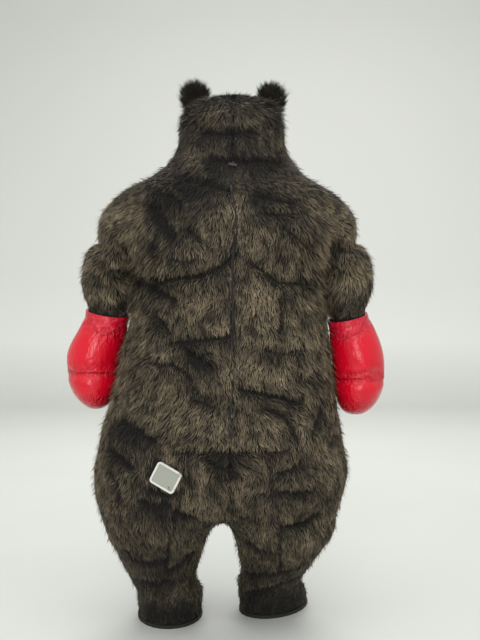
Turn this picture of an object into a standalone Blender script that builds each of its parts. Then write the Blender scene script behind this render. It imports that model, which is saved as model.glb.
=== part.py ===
"""A bear costume of long fur cloth, standing open and hollow as it is worn, with padded boxing gloves.

The wearer faces +Y, +X is the wearer's right hand side and Z is up. Every size in the tables is in
millimetres, with heights above the soles. The finished costume hangs from its wearer's shoulders, so
all of it is parented to an empty that brings the shoulders' height to the origin.

One closed skin is drawn first, a net of four-sided faces. The panels a maker would cut are patches of
that net. Each becomes a wall of cloth, and its edges stop short of the seam.
"""

import math
from bisect import bisect_right
from collections import namedtuple

import bmesh
import bpy
from mathutils import Matrix, Vector
from mathutils.bvhtree import BVHTree

MM = 0.001

# Driving dimensions.
HOLD_HEIGHT = 1450.0  # where the wearer's shoulders carry the costume
FUR_WALL = 12.0  # the backing with its lying pile
PADDED_WALL = 9.0  # vinyl over foam
SEAM_GAP = 0.3
STRAIGHT_EDGE = 0.9  # cosine of the turn below which an edge counts as straight
SHARPEST_CORNER = -0.8  # cosine of the sharpest turn that a seam's gap is mitred for
COLUMNS = 36  # points round the body
SQUARE = 2.15  # how square the body's rings are; 2 is an ellipse
EVEN = 0.11  # evens out the points of a wide ring
RAY_START = 1000.0  # outside the whole costume
SMOOTH_BELOW = 50.0  # faces that meet at less than this angle, in degrees, are shaded as one

# Where the rings of the body part into panels, counted from the middle of the back.
SIDE = COLUMNS // 4
FRONT = COLUMNS // 2
ARMHOLE_COLUMNS = 2  # each way from the side
LEG_SEAM = 2  # the seam down the back of each leg
LEG_FRONT_SEAM = 11
CROTCH_POINTS = 5
MUZZLE_COLUMNS = 3

# The body's rings from the crown down to the fork. shift is the middle's X, y its depth, turn its
# turn to the left in degrees, groove the depth of the cleft at the middle of the seat, and rings
# the number of rings to the next row.
Body = namedtuple("Body", "z shift y turn half back front groove rings")
BODY = [
    Body(1932, 20, 26, 2, 84, 76, 80, 0, 1),
    Body(1915, 19, 26, 2, 132, 122, 128, 0, 1),
    Body(1884, 17, 25, 2, 166, 158, 168, 0, 1),
    Body(1846, 15, 24, 2, 184, 178, 190, 0, 1),
    Body(1808, 13, 22, 2, 190, 184, 198, 0, 2),
    Body(1736, 13, 18, 2, 205, 186, 186, 0, 2),
    Body(1668, 11, 10, 3, 248, 196, 184, 0, 1),
    Body(1628, 3, 6, 3, 300, 206, 196, 0, 1),
    Body(1600, -4, 2, 3, 362, 218, 212, 0, 1),
    Body(1569, 2, 0, 3, 408, 232, 230, 0, 1),
    Body(1536, 7, 0, 3, 410, 245, 248, 0, 1),
    Body(1498, 10, 0, 4, 400, 256, 264, 0, 1),
    Body(1456, 12, 0, 4, 386, 263, 276, 0, 1),
    Body(1414, 12, 0, 4, 370, 267, 284, 0, 1),
    Body(1376, 6, 0, 4, 358, 268, 288, 0, 2),
    Body(1262, 0, 0, 4, 351, 263, 298, 0, 3),
    Body(1116, 4, 0, 4, 358, 256, 310, 0, 2),
    Body(1010, -5, 0, 5, 382, 256, 322, 0, 2),
    Body(904, -8, 0, 5, 398, 266, 332, 0, 2),
    Body(800, -16, 0, 6, 420, 282, 338, 0, 2),
    Body(700, -22, 0, 6, 447, 300, 336, 0, 1),
    Body(646, -22, 0, 7, 459, 309, 330, 4, 1),
    Body(600, -22, 0, 7, 467, 315, 320, 10, 1),
    Body(555, -22, 0, 7, 470, 317, 308, 18, 1),
    Body(508, -26, 0, 7, 465, 313, 294, 34, 1),
    Body(466, -29, 0, 7, 458, 304, 280, 52, 1),
    Body(426, -30, 0, 7, 450, 292, 266, 72, 1),
    Body(388, -30, -4, 7, 437, 276, 252, 94, 0),
]
GROOVE_WIDTH = 62.0
GROOVE_FRONT_SHARE = 0.6  # the cleft's depth in front, beside its depth at the back
CROWN_RISE = 6.0
FORK_HEIGHT = 370.0
FORK_RISE = 0.55  # how steeply the fork rises towards the seat
SEAT_LIFT = {0: 52.0, 1: 38.0, -1: 38.0}  # how far the seat's foot lifts at its middle

# The seams across the body, by the height of the ring they follow.
HOOD_SEAM = 1628
ARMHOLE_TOP = 1569
ARMHOLE_FOOT = 1376
WAIST_SEAM = 646
ZIP_TOP = 1668
MUZZLE_TOP = 1808
MUZZLE_FOOT = 1668

# The snout is drawn forward from the face.
MUZZLE_HEIGHT = 1742.0
MUZZLE_HALF_WIDTH = 112.0
MUZZLE_HALF_HEIGHT = 84.0
MUZZLE_LENGTH = 120.0
MUZZLE_BLUNTNESS = 0.75  # 1 is a cone-like tip, 0.5 a round one

# The arms' rings, each given by its outer and its inner point, on the wearer's right. half_depth
# is measured along Y.
Arm = namedtuple("Arm", "outer_x outer_z inner_x inner_z half_depth y")
ARM = [
    Arm(440, 1538, 360, 1370, 122, 4),
    Arm(462, 1500, 364, 1362, 121, 4),
    Arm(473, 1456, 366, 1352, 117, 4),
    Arm(476, 1418, 364, 1342, 108, 4),
    Arm(464, 1396, 360, 1332, 98, 4),
    Arm(506, 1378, 357, 1322, 101, 4),
    Arm(530, 1330, 355, 1296, 106, 4),
    Arm(539, 1268, 354, 1256, 106, 4),
    Arm(535, 1220, 356, 1210, 101, 4),
    Arm(524, 1190, 361, 1180, 92, 5),
]
ARM_SHIFT = {"left": -4.0, "right": -1.0}
SHOULDER_RINGS = 5  # the cap ends in the pinch above the sleeve

# The legs' rings down to the ankles.
Leg = namedtuple("Leg", "z half_width half_depth y left_x right_x")
LEG = [
    Leg(350, 198, 250, -8, -258, 206),
    Leg(312, 180, 226, -4, -256, 201),
    Leg(270, 162, 197, 0, -252, 193),
    Leg(230, 148, 171, 3, -249, 185),
    Leg(192, 133, 148, 6, -246, 177),
    Leg(164, 122, 133, 9, -241, 170),
    Leg(140, 121, 130, 14, -234, 160),
]
STRIDE = 118.0  # how far the right foot stands ahead of the left
OUTSIDE_START = 225.0  # the leg's outside runs from this angle, in degrees, through OUTSIDE_TURN
OUTSIDE_TURN = 270.0

# The feet's rings below the ankles, in each foot's own frame.
Foot = namedtuple("Foot", "z forward half_length half_width")
FOOT = [
    Foot(116, 26, 144, 122),
    Foot(88, 46, 158, 124),
    Foot(58, 62, 168, 124),
    Foot(34, 70, 172, 122),
    Foot(12.3, 72, 172, 119),
]
FootPlace = namedtuple("FootPlace", "x y turn")
FOOT_PLACE = {"left": FootPlace(-216, 4, 3), "right": FootPlace(141, 112, -28)}
SOLE_THICKNESS = 12.0
SOLE_LIP = 3.0

# Each glove's rings from the mouth down, given as the arms' rings are.
GLOVE = {
    "left": [
        Arm(525, 1152, 357, 1124, 86, 8),
        Arm(538, 1102, 362, 1088, 95, 9),
        Arm(564, 1056, 374, 1044, 104, 12),
        Arm(590, 1008, 386, 1000, 112, 16),
        Arm(596, 960, 396, 956, 117, 18),
        Arm(588, 920, 402, 920, 113, 18),
        Arm(578, 876, 411, 880, 113, 18),
        Arm(559, 838, 420, 846, 106, 17),
        Arm(532, 808, 434, 818, 88, 16),
        Arm(502, 790, 448, 796, 54, 14),
    ],
    "right": [
        Arm(519, 1140, 366, 1106, 86, 8),
        Arm(538, 1092, 369, 1078, 95, 9),
        Arm(562, 1044, 375, 1034, 104, 12),
        Arm(575, 996, 382, 990, 112, 16),
        Arm(582, 946, 388, 942, 117, 18),
        Arm(579, 898, 394, 894, 113, 18),
        Arm(566, 856, 400, 858, 113, 18),
        Arm(550, 818, 408, 824, 106, 17),
        Arm(526, 788, 416, 796, 88, 16),
        Arm(496, 770, 432, 776, 54, 14),
    ],
}
MOUTH_TILT = (14.0, 5.0)  # how far the mouth's front rises, and its back drops, in each ring
GLOVE_SIDES = 18
CUFF_REACH = (3, 2)  # half the cuff's columns, in each of its rows
KNUCKLE_ROW = 5
GLOVE_SEAM_DEPTH = 5.0
GLOVE_TIP_ROUNDING = 6.0

# The sleeve's end inside the glove's mouth: how far down, and how wide beside the mouth.
SleeveEnd = namedtuple("SleeveEnd", "down width")
SLEEVE_END = [SleeveEnd(0, 1.0), SleeveEnd(24, 0.83), SleeveEnd(50, 0.78)]

# The thumb along the front of the hand, and how far each side's is moved across and down.
Thumb = namedtuple("Thumb", "x y z radius")
THUMB = [
    Thumb(462, 108, 1012, 24),
    Thumb(458, 128, 985, 38),
    Thumb(455, 140, 945, 44),
    Thumb(456, 140, 900, 43),
    Thumb(462, 132, 866, 34),
    Thumb(466, 124, 850, 16),
]
THUMB_PLACE = {"left": (0.0, 0.0), "right": (-7.0, -60.0)}
THUMB_SIDES = 12
THUMB_ROOT_ROUNDING = 8.0
THUMB_TIP_ROUNDING = 6.0

# The folds that the cloth falls into, as lines across the back (-1) or the front (1). width is a
# fold's half width, and bulge is how far the cloth swells just below the line.
Fold = namedtuple("Fold", "side x1 z1 x2 z2 depth width bulge")
FOLDS = [
    Fold(-1, -110, 1795, 120, 1795, 13, 24, 4),
    Fold(-1, -120, 1690, 190, 1690, 15, 26, 5),
    Fold(-1, -170, 1612, 60, 1606, 12, 26, 4),
    Fold(-1, -264, 1500, -166, 1448, 16, 30, 6),
    Fold(-1, 100, 1486, 215, 1480, 12, 26, 4),
    Fold(-1, 30, 1352, -120, 1268, 14, 28, 6),
    Fold(-1, 84, 1320, 166, 1258, 13, 26, 5),
    Fold(-1, 166, 1258, 264, 1244, 12, 26, 5),
    Fold(-1, -316, 1276, -256, 1224, 14, 26, 5),
    Fold(-1, -256, 1224, -190, 1180, 13, 26, 5),
    Fold(-1, 190, 1200, 190, 1070, 13, 28, 0),
    Fold(-1, -164, 1036, 16, 1050, 13, 26, 6),
    Fold(-1, -194, 1120, -184, 1025, 9, 26, 0),
    Fold(-1, -170, 945, -106, 896, 11, 26, 4),
    Fold(-1, 41, 876, 246, 836, 15, 30, 6),
    Fold(-1, -238, 846, -56, 822, 14, 30, 6),
    Fold(-1, 280, 960, 370, 930, 11, 26, 4),
    Fold(-1, -380, 750, -286, 700, 13, 28, 5),
    Fold(-1, -420, 675, -300, 625, 13, 28, 5),
    Fold(-1, 160, 588, 262, 622, 13, 28, 5),
    Fold(-1, 186, 536, 330, 524, 14, 28, 6),
    Fold(-1, 170, 408, 330, 428, 14, 28, 5),
    Fold(-1, -330, 470, -180, 452, 12, 28, 5),
    Fold(-1, -380, 338, -200, 306, 11, 24, 5),
    Fold(-1, -300, 218, -200, 216, 9, 22, 4),
    Fold(-1, 130, 232, 290, 222, 9, 22, 4),
    Fold(1, -90, 1650, 120, 1648, 13, 26, 5),
    Fold(1, -200, 1470, -60, 1410, 14, 28, 5),
    Fold(1, 210, 1460, 80, 1404, 13, 28, 5),
    Fold(1, -300, 1270, -190, 1210, 14, 26, 5),
    Fold(1, 305, 1262, 200, 1200, 13, 26, 5),
    Fold(1, -150, 1060, 60, 1040, 13, 28, 6),
    Fold(1, 60, 900, 260, 930, 13, 30, 6),
    Fold(1, -270, 830, -70, 800, 14, 30, 6),
    Fold(1, 300, 730, 400, 690, 13, 28, 5),
    Fold(1, -330, 560, -170, 520, 14, 28, 6),
    Fold(1, 120, 540, 290, 560, 13, 28, 6),
    Fold(1, -350, 330, -190, 312, 11, 24, 5),
    Fold(1, 120, 320, 300, 340, 11, 24, 5),
    Fold(1, 120, 225, 230, 222, 9, 22, 4),
    Fold(1, -300, 222, -190, 220, 9, 22, 4),
]
BULGE_DROP = 1.6  # how far below its line a fold swells, in half widths
TROUSER_TUCK = 8.0  # how far the waist seam draws in
HOOD_TUCK = 7.0

# Trims.
ZIP_WIDTH = 8.0
ZIP_SINK = 4.0  # how far the chain lies below the pile
ZIP_THICKNESS = 5.0
PULL_WIDTH = 30.0
PULL_HEIGHT = 9.0
PULL_THICKNESS = 5.0
PULL_LIFT = 1.2  # how far the pull stands above the pile
PULL_NECK = 2.6  # half the width of the neck that joins it to the chain
PULL_PLACE = 0.35  # where it sits on the chain's first stretch
TRIM_ROOT = 14.0  # how far a trim's blank reaches into the skin before it is cut back
PATCH_MIDDLE = (-205.0, 581.0)
PATCH_WIDTH = 94.0
PATCH_HEIGHT = 78.0
PATCH_TURN = -27.0
PATCH_THICKNESS = 3.0
PATCH_CORNER = 5.0
BINDING_WIDTH = 7.0
BINDING_THICKNESS = 4.5
BINDING_CORNER = 11.0
Ear = namedtuple("Ear", "x z tilt")
EARS = {"left": Ear(-119, 1904, -10), "right": Ear(156, 1898, 10)}
EAR_HALF_WIDTH = 50.0
EAR_HEIGHT = 80.0
EAR_HALF_THICKNESS = 25.0
EAR_ROOT = 50.0
EAR_ROOT_NARROWING = 0.35
EAR_Y = 22.0
EAR_SIDES = 14
EAR_LEVELS = 5
EAR_DISH = 0.65  # how much of the front is dished
EAR_DISH_TOP = 0.7  # the dish ends at this share of the height
EAR_TIP_THINNING = 0.8
EYE_X = 66.0
EYE_HEIGHT = 1838.0
EYE_RADIUS = 15.0
EYE_STAND_OUT = 9.0
NOSE_OFF_MIDDLE = 4.0
NOSE_HEIGHT = 1764.0
NOSE_HALF_WIDTH = 34.0
NOSE_HALF_HEIGHT = 24.0
NOSE_STAND_OUT = 20.0
BUTTON_SIDES = 12
NOSE_SIDES = 14
NOSE_LEVELS = 4

# Finishes: sRGB colour, roughness.
FINISHES = {
    "fur": ("3B342B", 0.9),
    "glove_vinyl": ("C4122B", 0.22),
    "sole_rubber": ("17140F", 0.7),
    "hard_trim": ("0E0D0C", 0.25),
    "zip_metal": ("8D8C88", 0.45),
    "patch_cloth": ("A4A79C", 0.6),
    "binding_tape": ("D9DAD4", 0.6),
}


def mm(x, y, z):
    return Vector((x, y, z)) * MM


def to_linear(code):
    """The linear colour of an sRGB hex code, for Blender's shader sockets."""
    channels = [int(code[i : i + 2], 16) / 255 for i in (0, 2, 4)]
    return [c / 12.92 if c <= 0.04045 else ((c + 0.055) / 1.055) ** 2.4 for c in channels]


def make_finish(name):
    code, roughness = FINISHES[name]
    finish = bpy.data.materials.new(name)
    finish.use_nodes = True
    shader = finish.node_tree.nodes["Principled BSDF"]
    shader.inputs["Base Color"].default_value = (*to_linear(code), 1)
    shader.inputs["Roughness"].default_value = roughness
    shader.inputs["Metallic"].default_value = 1.0 if name == "zip_metal" else 0.0
    return finish


def curve_of(table, column):
    """A smooth curve through one column of a table, as a function of height, with no overshoot."""
    rows = sorted(table, key=lambda row: row.z)
    heights = [row.z for row in rows]
    values = [getattr(row, column) for row in rows]
    spans = [b - a for a, b in zip(heights, heights[1:])]
    steps = [(b - a) / span for a, b, span in zip(values, values[1:], spans)]
    inner = [0.0 if a * b <= 0 else 2 * a * b / (a + b) for a, b in zip(steps, steps[1:])]
    slopes = [steps[0], *inner, steps[-1]]

    def at(z):
        i = min(max(bisect_right(heights, z) - 1, 0), len(spans) - 1)
        t = (z - heights[i]) / spans[i]
        start = values[i] * (1 + 2 * t) + slopes[i] * spans[i] * t
        end = values[i + 1] * (3 - 2 * t) - slopes[i + 1] * spans[i] * (1 - t)
        return start * (1 - t) ** 2 + end * t**2

    return at


def ring_heights(table):
    """The heights of all rings: those of the table and the ones between them."""
    heights = []
    for row, below in zip(table, table[1:]):
        step = (row.z - below.z) / row.rings
        heights += [row.z - step * i for i in range(row.rings)]
    return heights + [table[-1].z]


def power(value, exponent):
    return math.copysign(abs(value) ** exponent, value)


def muzzle_bump(x, z):
    """How far the snout stands out of the face, for a point X from its middle."""
    across = (x / MUZZLE_HALF_WIDTH) ** 2 + ((z - MUZZLE_HEIGHT) / MUZZLE_HALF_HEIGHT) ** 2
    return MUZZLE_LENGTH * max(0.0, 1 - across) ** MUZZLE_BLUNTNESS


def body_ring(z, curves):
    """The points of the body's ring at one height, from the middle of the back round by +X."""
    half, back, front, groove, shift, y, turn = (
        curves[name](z) for name in ("half", "back", "front", "groove", "shift", "y", "turn")
    )
    points = []
    for column in range(COLUMNS):
        u = math.tau * column / COLUMNS
        t = u - EVEN * math.sin(2 * u)
        across = half * power(math.sin(t), 2 / SQUARE)
        deep = power(-math.cos(t), 2 / SQUARE)
        along = deep * (front if deep > 0 else back)
        cleft = groove * math.exp(-((across / GROOVE_WIDTH) ** 2))
        along += -GROOVE_FRONT_SHARE * cleft if deep > 0 else cleft
        if deep > 0:
            along += muzzle_bump(across, z)
        spin = math.radians(turn)
        points.append(
            mm(
                shift + across * math.cos(spin) - along * math.sin(spin),
                y + across * math.sin(spin) + along * math.cos(spin),
                z,
            )
        )
    return points


def arm_ring(row, side, sides, tilt=0.0):
    """A ring round an arm or a glove, from its outer point round by the front."""
    sign = 1 if side == "right" else -1
    shift = ARM_SHIFT[side]
    outer = mm(sign * row.outer_x + shift, row.y, row.outer_z)
    inner = mm(sign * row.inner_x + shift, row.y, row.inner_z)
    middle = (outer + inner) / 2
    across = (outer - inner) / 2
    deep = mm(0, row.half_depth, tilt)
    turns = [math.tau * i / sides for i in range(sides)]
    return [middle + across * math.cos(a) + deep * math.sin(a) for a in turns]


class Skin:
    """A net of faces in which every face belongs to a named panel."""

    def __init__(self):
        self.mesh = bmesh.new()
        self.panel_of = {}
        self.wide_seams = set()

    def ring(self, points):
        return [self.mesh.verts.new(point) for point in points]

    def strip(self, upper, lower, panel_at, closed=True, skip=()):
        """Joins two rings. panel_at names the panel of each column, and skip lists open ones."""
        count = len(upper)
        for i in range(count if closed else count - 1):
            if i in skip:
                continue
            j = (i + 1) % count
            face = self.mesh.faces.new((upper[i], lower[i], lower[j], upper[j]))
            self.panel_of[face] = panel_at(i)

    def cap(self, ring, tip, panel_at, flip=False):
        """Closes a ring with a fan of faces."""
        count = len(ring)
        for i in range(count):
            corners = [tip, ring[i], ring[(i + 1) % count]]
            face = self.mesh.faces.new(reversed(corners) if flip else corners)
            self.panel_of[face] = panel_at(i)

    def relax(self, verts, passes, share=0.5):
        """Eases points towards the middle of their neighbours."""
        for _ in range(passes):
            moved = {}
            for vert in verts:
                around = [edge.other_vert(vert).co for edge in vert.link_edges]
                moved[vert] = vert.co.lerp(sum(around, Vector()) / len(around), share)
            for vert, place in moved.items():
                vert.co = place


def draw_body(skin):
    """The body from the crown to the fork, with an open armhole on each side."""
    curves = {name: curve_of(BODY, name) for name in Body._fields[1:8]}
    heights = ring_heights(BODY)
    rings = [skin.ring(body_ring(z, curves)) for z in heights]
    top = heights.index(ARMHOLE_TOP)
    foot = heights.index(ARMHOLE_FOOT)

    def panel_at(z):
        def name(column):
            right = column < FRONT
            from_back = min(column, COLUMNS - 1 - column)
            side = "right" if right else "left"
            if z > HOOD_SEAM:
                in_snout = MUZZLE_FOOT < z <= MUZZLE_TOP
                if in_snout and FRONT - 1 - from_back < MUZZLE_COLUMNS:
                    return "muzzle"
                return "hood_back_" + side if from_back < SIDE else "face"
            if z > WAIST_SEAM:
                return ("back_" if from_back < SIDE else "front_") + side
            if from_back < LEG_SEAM:
                return "seat_" + side
            return ("leg_side_" if from_back < LEG_FRONT_SEAM else "leg_front_") + side

        return name

    for row in range(len(rings) - 1):
        hole = set()
        if top <= row < foot:
            for middle in (SIDE, COLUMNS - SIDE):
                hole |= {middle + i for i in range(-ARMHOLE_COLUMNS, ARMHOLE_COLUMNS)}
        skin.strip(rings[row], rings[row + 1], panel_at(heights[row]), skip=hole)
    middle = sum((vert.co for vert in rings[0]), Vector()) / COLUMNS
    crown = skin.mesh.verts.new(middle + mm(0, 0, CROWN_RISE))
    skin.cap(rings[0], crown, panel_at(heights[0]))
    for vert in [vert for vert in skin.mesh.verts if not vert.link_faces]:
        skin.mesh.verts.remove(vert)
    return rings, heights


def armhole_loop(rings, heights, side):
    """The armhole's points, from the top of the shoulder round by the front."""
    top = heights.index(ARMHOLE_TOP)
    foot = heights.index(ARMHOLE_FOOT)
    middle, forward = (SIDE, 1) if side == "right" else (COLUMNS - SIDE, -1)
    reach = ARMHOLE_COLUMNS
    loop = [rings[top][middle + forward * i] for i in range(reach + 1)]
    loop += [rings[row][middle + forward * reach] for row in range(top + 1, foot)]
    loop += [rings[foot][middle + forward * i] for i in range(reach, -reach - 1, -1)]
    loop += [rings[row][middle - forward * reach] for row in range(foot - 1, top, -1)]
    loop += [rings[top][middle - forward * i] for i in range(reach, 0, -1)]
    return loop


def draw_arm(skin, loop, side, lip):
    """Shoulder cap and sleeve, from the armhole to the narrow end inside the glove's lip."""
    middle = sum(lip, Vector()) / len(lip)
    rings = [arm_ring(row, side, len(loop)) for row in ARM]
    for end in SLEEVE_END:
        inset = [point - (point - middle).normalized() * SEAM_GAP * MM for point in lip]
        rings.append([middle + (p - middle) * end.width - mm(0, 0, end.down) for p in inset])
    above = loop
    for number, points in enumerate(rings):
        ring = skin.ring(points)
        kind = "shoulder_" if number < SHOULDER_RINGS else "sleeve_"
        skin.strip(above, ring, lambda i, kind=kind: kind + side)
        above = ring


def draw_leg(skin, last_ring, side):
    """One trouser leg and its foot. The first points run round the outside from the back."""
    right = side == "right"
    sign = 1 if right else -1
    order = range(FRONT + 1) if right else [-i % COLUMNS for i in range(FRONT + 1)]
    above = [last_ring[i] for i in order] + skin.fork
    outside = math.radians(OUTSIDE_TURN / FRONT)
    inside = (math.tau - math.radians(OUTSIDE_TURN)) / (CROTCH_POINTS + 1)
    turns = [math.radians(OUTSIDE_START) + outside * i for i in range(FRONT + 1)]
    turns += [turns[-1] + inside * (i + 1) for i in range(CROTCH_POINTS)]

    def panel_at(i):
        if i < LEG_SEAM or i >= FRONT + CROTCH_POINTS // 2 + 1:
            return "seat_" + side
        return ("leg_side_" if i < LEG_FRONT_SEAM else "leg_front_") + side

    for row in LEG:
        ahead = STRIDE * (1 - row.z / FORK_HEIGHT) if right else 0
        middle_x = row.right_x if right else row.left_x
        points = [
            mm(
                middle_x + sign * row.half_width * math.cos(a),
                row.y + ahead + row.half_depth * math.sin(a),
                row.z,
            )
            for a in turns
        ]
        ring = skin.ring(points)
        skin.strip(above, ring, panel_at)
        above = ring
    place = FOOT_PLACE[side]
    turn = Matrix.Rotation(math.radians(place.turn), 3, "Z")
    for number, row in enumerate(FOOT):
        blend = min(1.0, (number + 1) / 3)
        angle = Matrix.Rotation(math.radians(place.turn * blend), 3, "Z")
        middle = mm(place.x, place.y, row.z) + turn @ mm(0, row.forward, 0)
        ring = skin.ring(
            middle
            + angle @ mm(sign * row.half_width * math.cos(a), row.half_length * math.sin(a), 0)
            for a in turns
        )
        skin.strip(above, ring, lambda i: "foot_" + side)
        above = ring
    return [vert.co.copy() for vert in above]


def fold_shift(point, normal):
    """How far the folds move a point of the skin, out of the body if positive."""
    shift = 0.0
    x, z = point.x / MM, point.z / MM
    for fold in FOLDS:
        facing = max(0.0, fold.side * normal.y) ** 0.5
        if not facing:
            continue
        along = Vector((fold.x2 - fold.x1, fold.z2 - fold.z1))
        place = Vector((x - fold.x1, z - fold.z1))
        t = min(1.0, max(0.0, place.dot(along) / along.length_squared))
        gap = place - along * t
        near = math.exp(-((gap.length / fold.width) ** 2))
        lower = gap + Vector((0, BULGE_DROP * fold.width))
        below = math.exp(-((lower.length / fold.width) ** 2))
        shift += facing * (fold.bulge * below - fold.depth * near)
    return shift


def fold_cloth(skin, rings, heights):
    """Presses the folds and the gathered seams into the skin."""
    tucks = {}
    for height, depth in ((WAIST_SEAM, TROUSER_TUCK), (HOOD_SEAM, HOOD_TUCK)):
        for vert in rings[heights.index(height)]:
            tucks[vert] = -depth
    skin.mesh.normal_update()
    moves = {}
    for vert in skin.mesh.verts:
        depth = fold_shift(vert.co, vert.normal) + tucks.get(vert, 0.0)
        moves[vert] = vert.normal * depth * MM
    for vert, move in moves.items():
        vert.co += move


def cut_edges(skin, panel, faces):
    """How far each point of a panel's edge moves back from the seam."""
    inward = {}
    for face in faces:
        for loop in face.loops:
            edge = loop.edge
            if sum(skin.panel_of[other] == panel for other in edge.link_faces) == 2:
                continue
            start = loop.vert.co
            along = (loop.link_loop_next.vert.co - start).normalized()
            gap = SEAM_GAP / 2
            if edge in skin.wide_seams:
                gap = SEAM_GAP + ZIP_WIDTH / 2
            pull = (face.normal.cross(along).normalized(), gap * MM)
            for vert in edge.verts:
                inward.setdefault(vert, []).append(pull)
    shifts = {}
    for vert, pulls in inward.items():
        (m1, g1), (m2, g2) = pulls[0], pulls[-1]
        c = m1.dot(m2)
        if c > STRAIGHT_EDGE:
            shifts[vert] = (m1 + m2).normalized() * max(g1, g2)
        else:
            c = max(c, SHARPEST_CORNER)
            shifts[vert] = (m1 * (g1 - c * g2) + m2 * (g2 - c * g1)) / (1 - c * c)
    return shifts


def outward_way(vert):
    """The way out through the wall at a point of the skin. It is level at an open end."""
    level = Vector((vert.normal.x, vert.normal.y, 0))
    return level.normalized() if vert.is_boundary else vert.normal


def add_rim(solid, outer, inner, a, b):
    """Closes a wall along one edge. Both panels at a seam split their rims along the same line."""
    if a.index < b.index:
        corners = ((outer[b], outer[a], inner[b]), (outer[a], inner[a], inner[b]))
    else:
        corners = ((outer[b], outer[a], inner[a]), (outer[b], inner[a], inner[b]))
    for corner in corners:
        solid.faces.new(corner)


def make_panels(skin, wall, finish, parent):
    """Turns each panel of a skin into a wall of cloth of its own."""
    skin.mesh.normal_update()
    skin.mesh.verts.index_update()
    panels = {}
    for face, panel in skin.panel_of.items():
        panels.setdefault(panel, []).append(face)
    for panel, faces in panels.items():
        shifts = cut_edges(skin, panel, faces)
        solid = bmesh.new()
        outer, inner = {}, {}
        for face in faces:
            for vert in face.verts:
                if vert not in outer:
                    place = vert.co + shifts.get(vert, Vector())
                    outer[vert] = solid.verts.new(place)
                    inner[vert] = solid.verts.new(place - outward_way(vert) * wall * MM)
        for face in faces:
            solid.faces.new([outer[v] for v in face.verts])
            solid.faces.new([inner[v] for v in reversed(face.verts)])
            for loop in face.loops:
                inside = sum(skin.panel_of[f] == panel for f in loop.edge.link_faces)
                if inside == 1:
                    add_rim(solid, outer, inner, loop.vert, loop.link_loop_next.vert)
        split_faces(solid)
        add_piece(panel, solid, finish, parent)


def split_faces(solid):
    """Splits every face at its own first corner, so that a cutter's facets match the panels'."""
    bmesh.ops.triangulate(solid, faces=solid.faces, quad_method="FIXED", ngon_method="EAR_CLIP")


def add_piece(name, solid, finish, parent, smooth=True):
    """Turns a bmesh into a named object."""
    data = bpy.data.meshes.new(name)
    solid.to_mesh(data)
    solid.free()
    if smooth:
        data.shade_smooth()
        data.set_sharp_from_angle(angle=math.radians(SMOOTH_BELOW))
    piece = bpy.data.objects.new(name, data)
    piece.data.materials.append(finish)
    piece.parent = parent
    bpy.context.scene.collection.objects.link(piece)
    return piece


def closed_copy(skin, name, parent):
    """The skin's outside as one closed solid, a seam's gap larger, kept as a cutter."""
    solid = skin.mesh.copy()
    bmesh.ops.holes_fill(solid, edges=solid.edges)
    solid.normal_update()
    moves = [(vert, vert.normal * SEAM_GAP * MM) for vert in solid.verts]
    for vert, move in moves:
        vert.co += move
    split_faces(solid)
    cutter = add_piece(name, solid, bpy.data.materials["fur"], parent, smooth=False)
    cutter.hide_render = True
    cutter.display_type = "WIRE"
    return cutter


def cut_back(piece, cutter):
    """Cuts a piece back to the surface that it lies on."""
    cut = piece.modifiers.new("cut back", "BOOLEAN")
    cut.operation = "DIFFERENCE"
    cut.solver = "EXACT"
    cut.object = cutter


def stack(rings, tips):
    """A closed solid through a stack of rings, ended at both ends by a point."""
    solid = bmesh.new()
    layers = [[solid.verts.new(point) for point in ring] for ring in rings]
    count = len(layers[0])
    for above, below in zip(layers, layers[1:]):
        for i in range(count):
            j = (i + 1) % count
            solid.faces.new((above[i], below[i], below[j], above[j]))
    first, last = (solid.verts.new(tip) for tip in tips)
    for i in range(count):
        j = (i + 1) % count
        solid.faces.new((first, layers[0][i], layers[0][j]))
        solid.faces.new((last, layers[-1][j], layers[-1][i]))
    bmesh.ops.recalc_face_normals(solid, faces=solid.faces)
    return solid


def prism(outlines):
    """A closed solid between two outlines of as many points, one behind the other."""
    solid = bmesh.new()
    first, second = ([solid.verts.new(point) for point in outline] for outline in outlines)
    count = len(first)
    for i in range(count):
        j = (i + 1) % count
        solid.faces.new((first[i], second[i], second[j], first[j]))
    solid.faces.new(first)
    solid.faces.new(list(reversed(second)))
    bmesh.ops.recalc_face_normals(solid, faces=solid.faces)
    return solid


def dome(middle, across, up, out, sides=BUTTON_SIDES, levels=3):
    """A rounded button: half of a flattened ball on a short stem that runs inwards."""
    rings = []
    for level in range(levels):
        lift = math.sin(math.pi / 2 * level / levels)
        spread = math.cos(math.pi / 2 * level / levels)
        turns = [math.tau * i / sides for i in range(sides)]
        rings.append(
            [
                middle + out * lift + (across * math.cos(a) + up * math.sin(a)) * spread
                for a in turns
            ]
        )
    stem = out.normalized() * TRIM_ROOT * MM
    rings.insert(0, [point - stem for point in rings[0]])
    return stack(rings, (middle - stem, middle + out))


def surface_point(tree, x, z, side):
    """The point of the skin at X and Z on its back (-1) or its front (1), and its normal."""
    start = mm(x, side * RAY_START, z)
    place, normal, _, _ = tree.ray_cast(start, Vector((0, -side, 0)))
    return place, normal


def make_soles(outlines, parent):
    """The flat soles under the feet's open ends."""
    for side, outline in outlines.items():
        middle = sum(outline, Vector()) / len(outline)
        lip = [point + (point - middle).normalized() * SOLE_LIP * MM for point in outline]
        faces = [[Vector((p.x, p.y, z)) for p in lip] for z in (SOLE_THICKNESS * MM, 0.0)]
        add_piece("sole_" + side, prism(faces), bpy.data.materials["sole_rubber"], parent)


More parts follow.
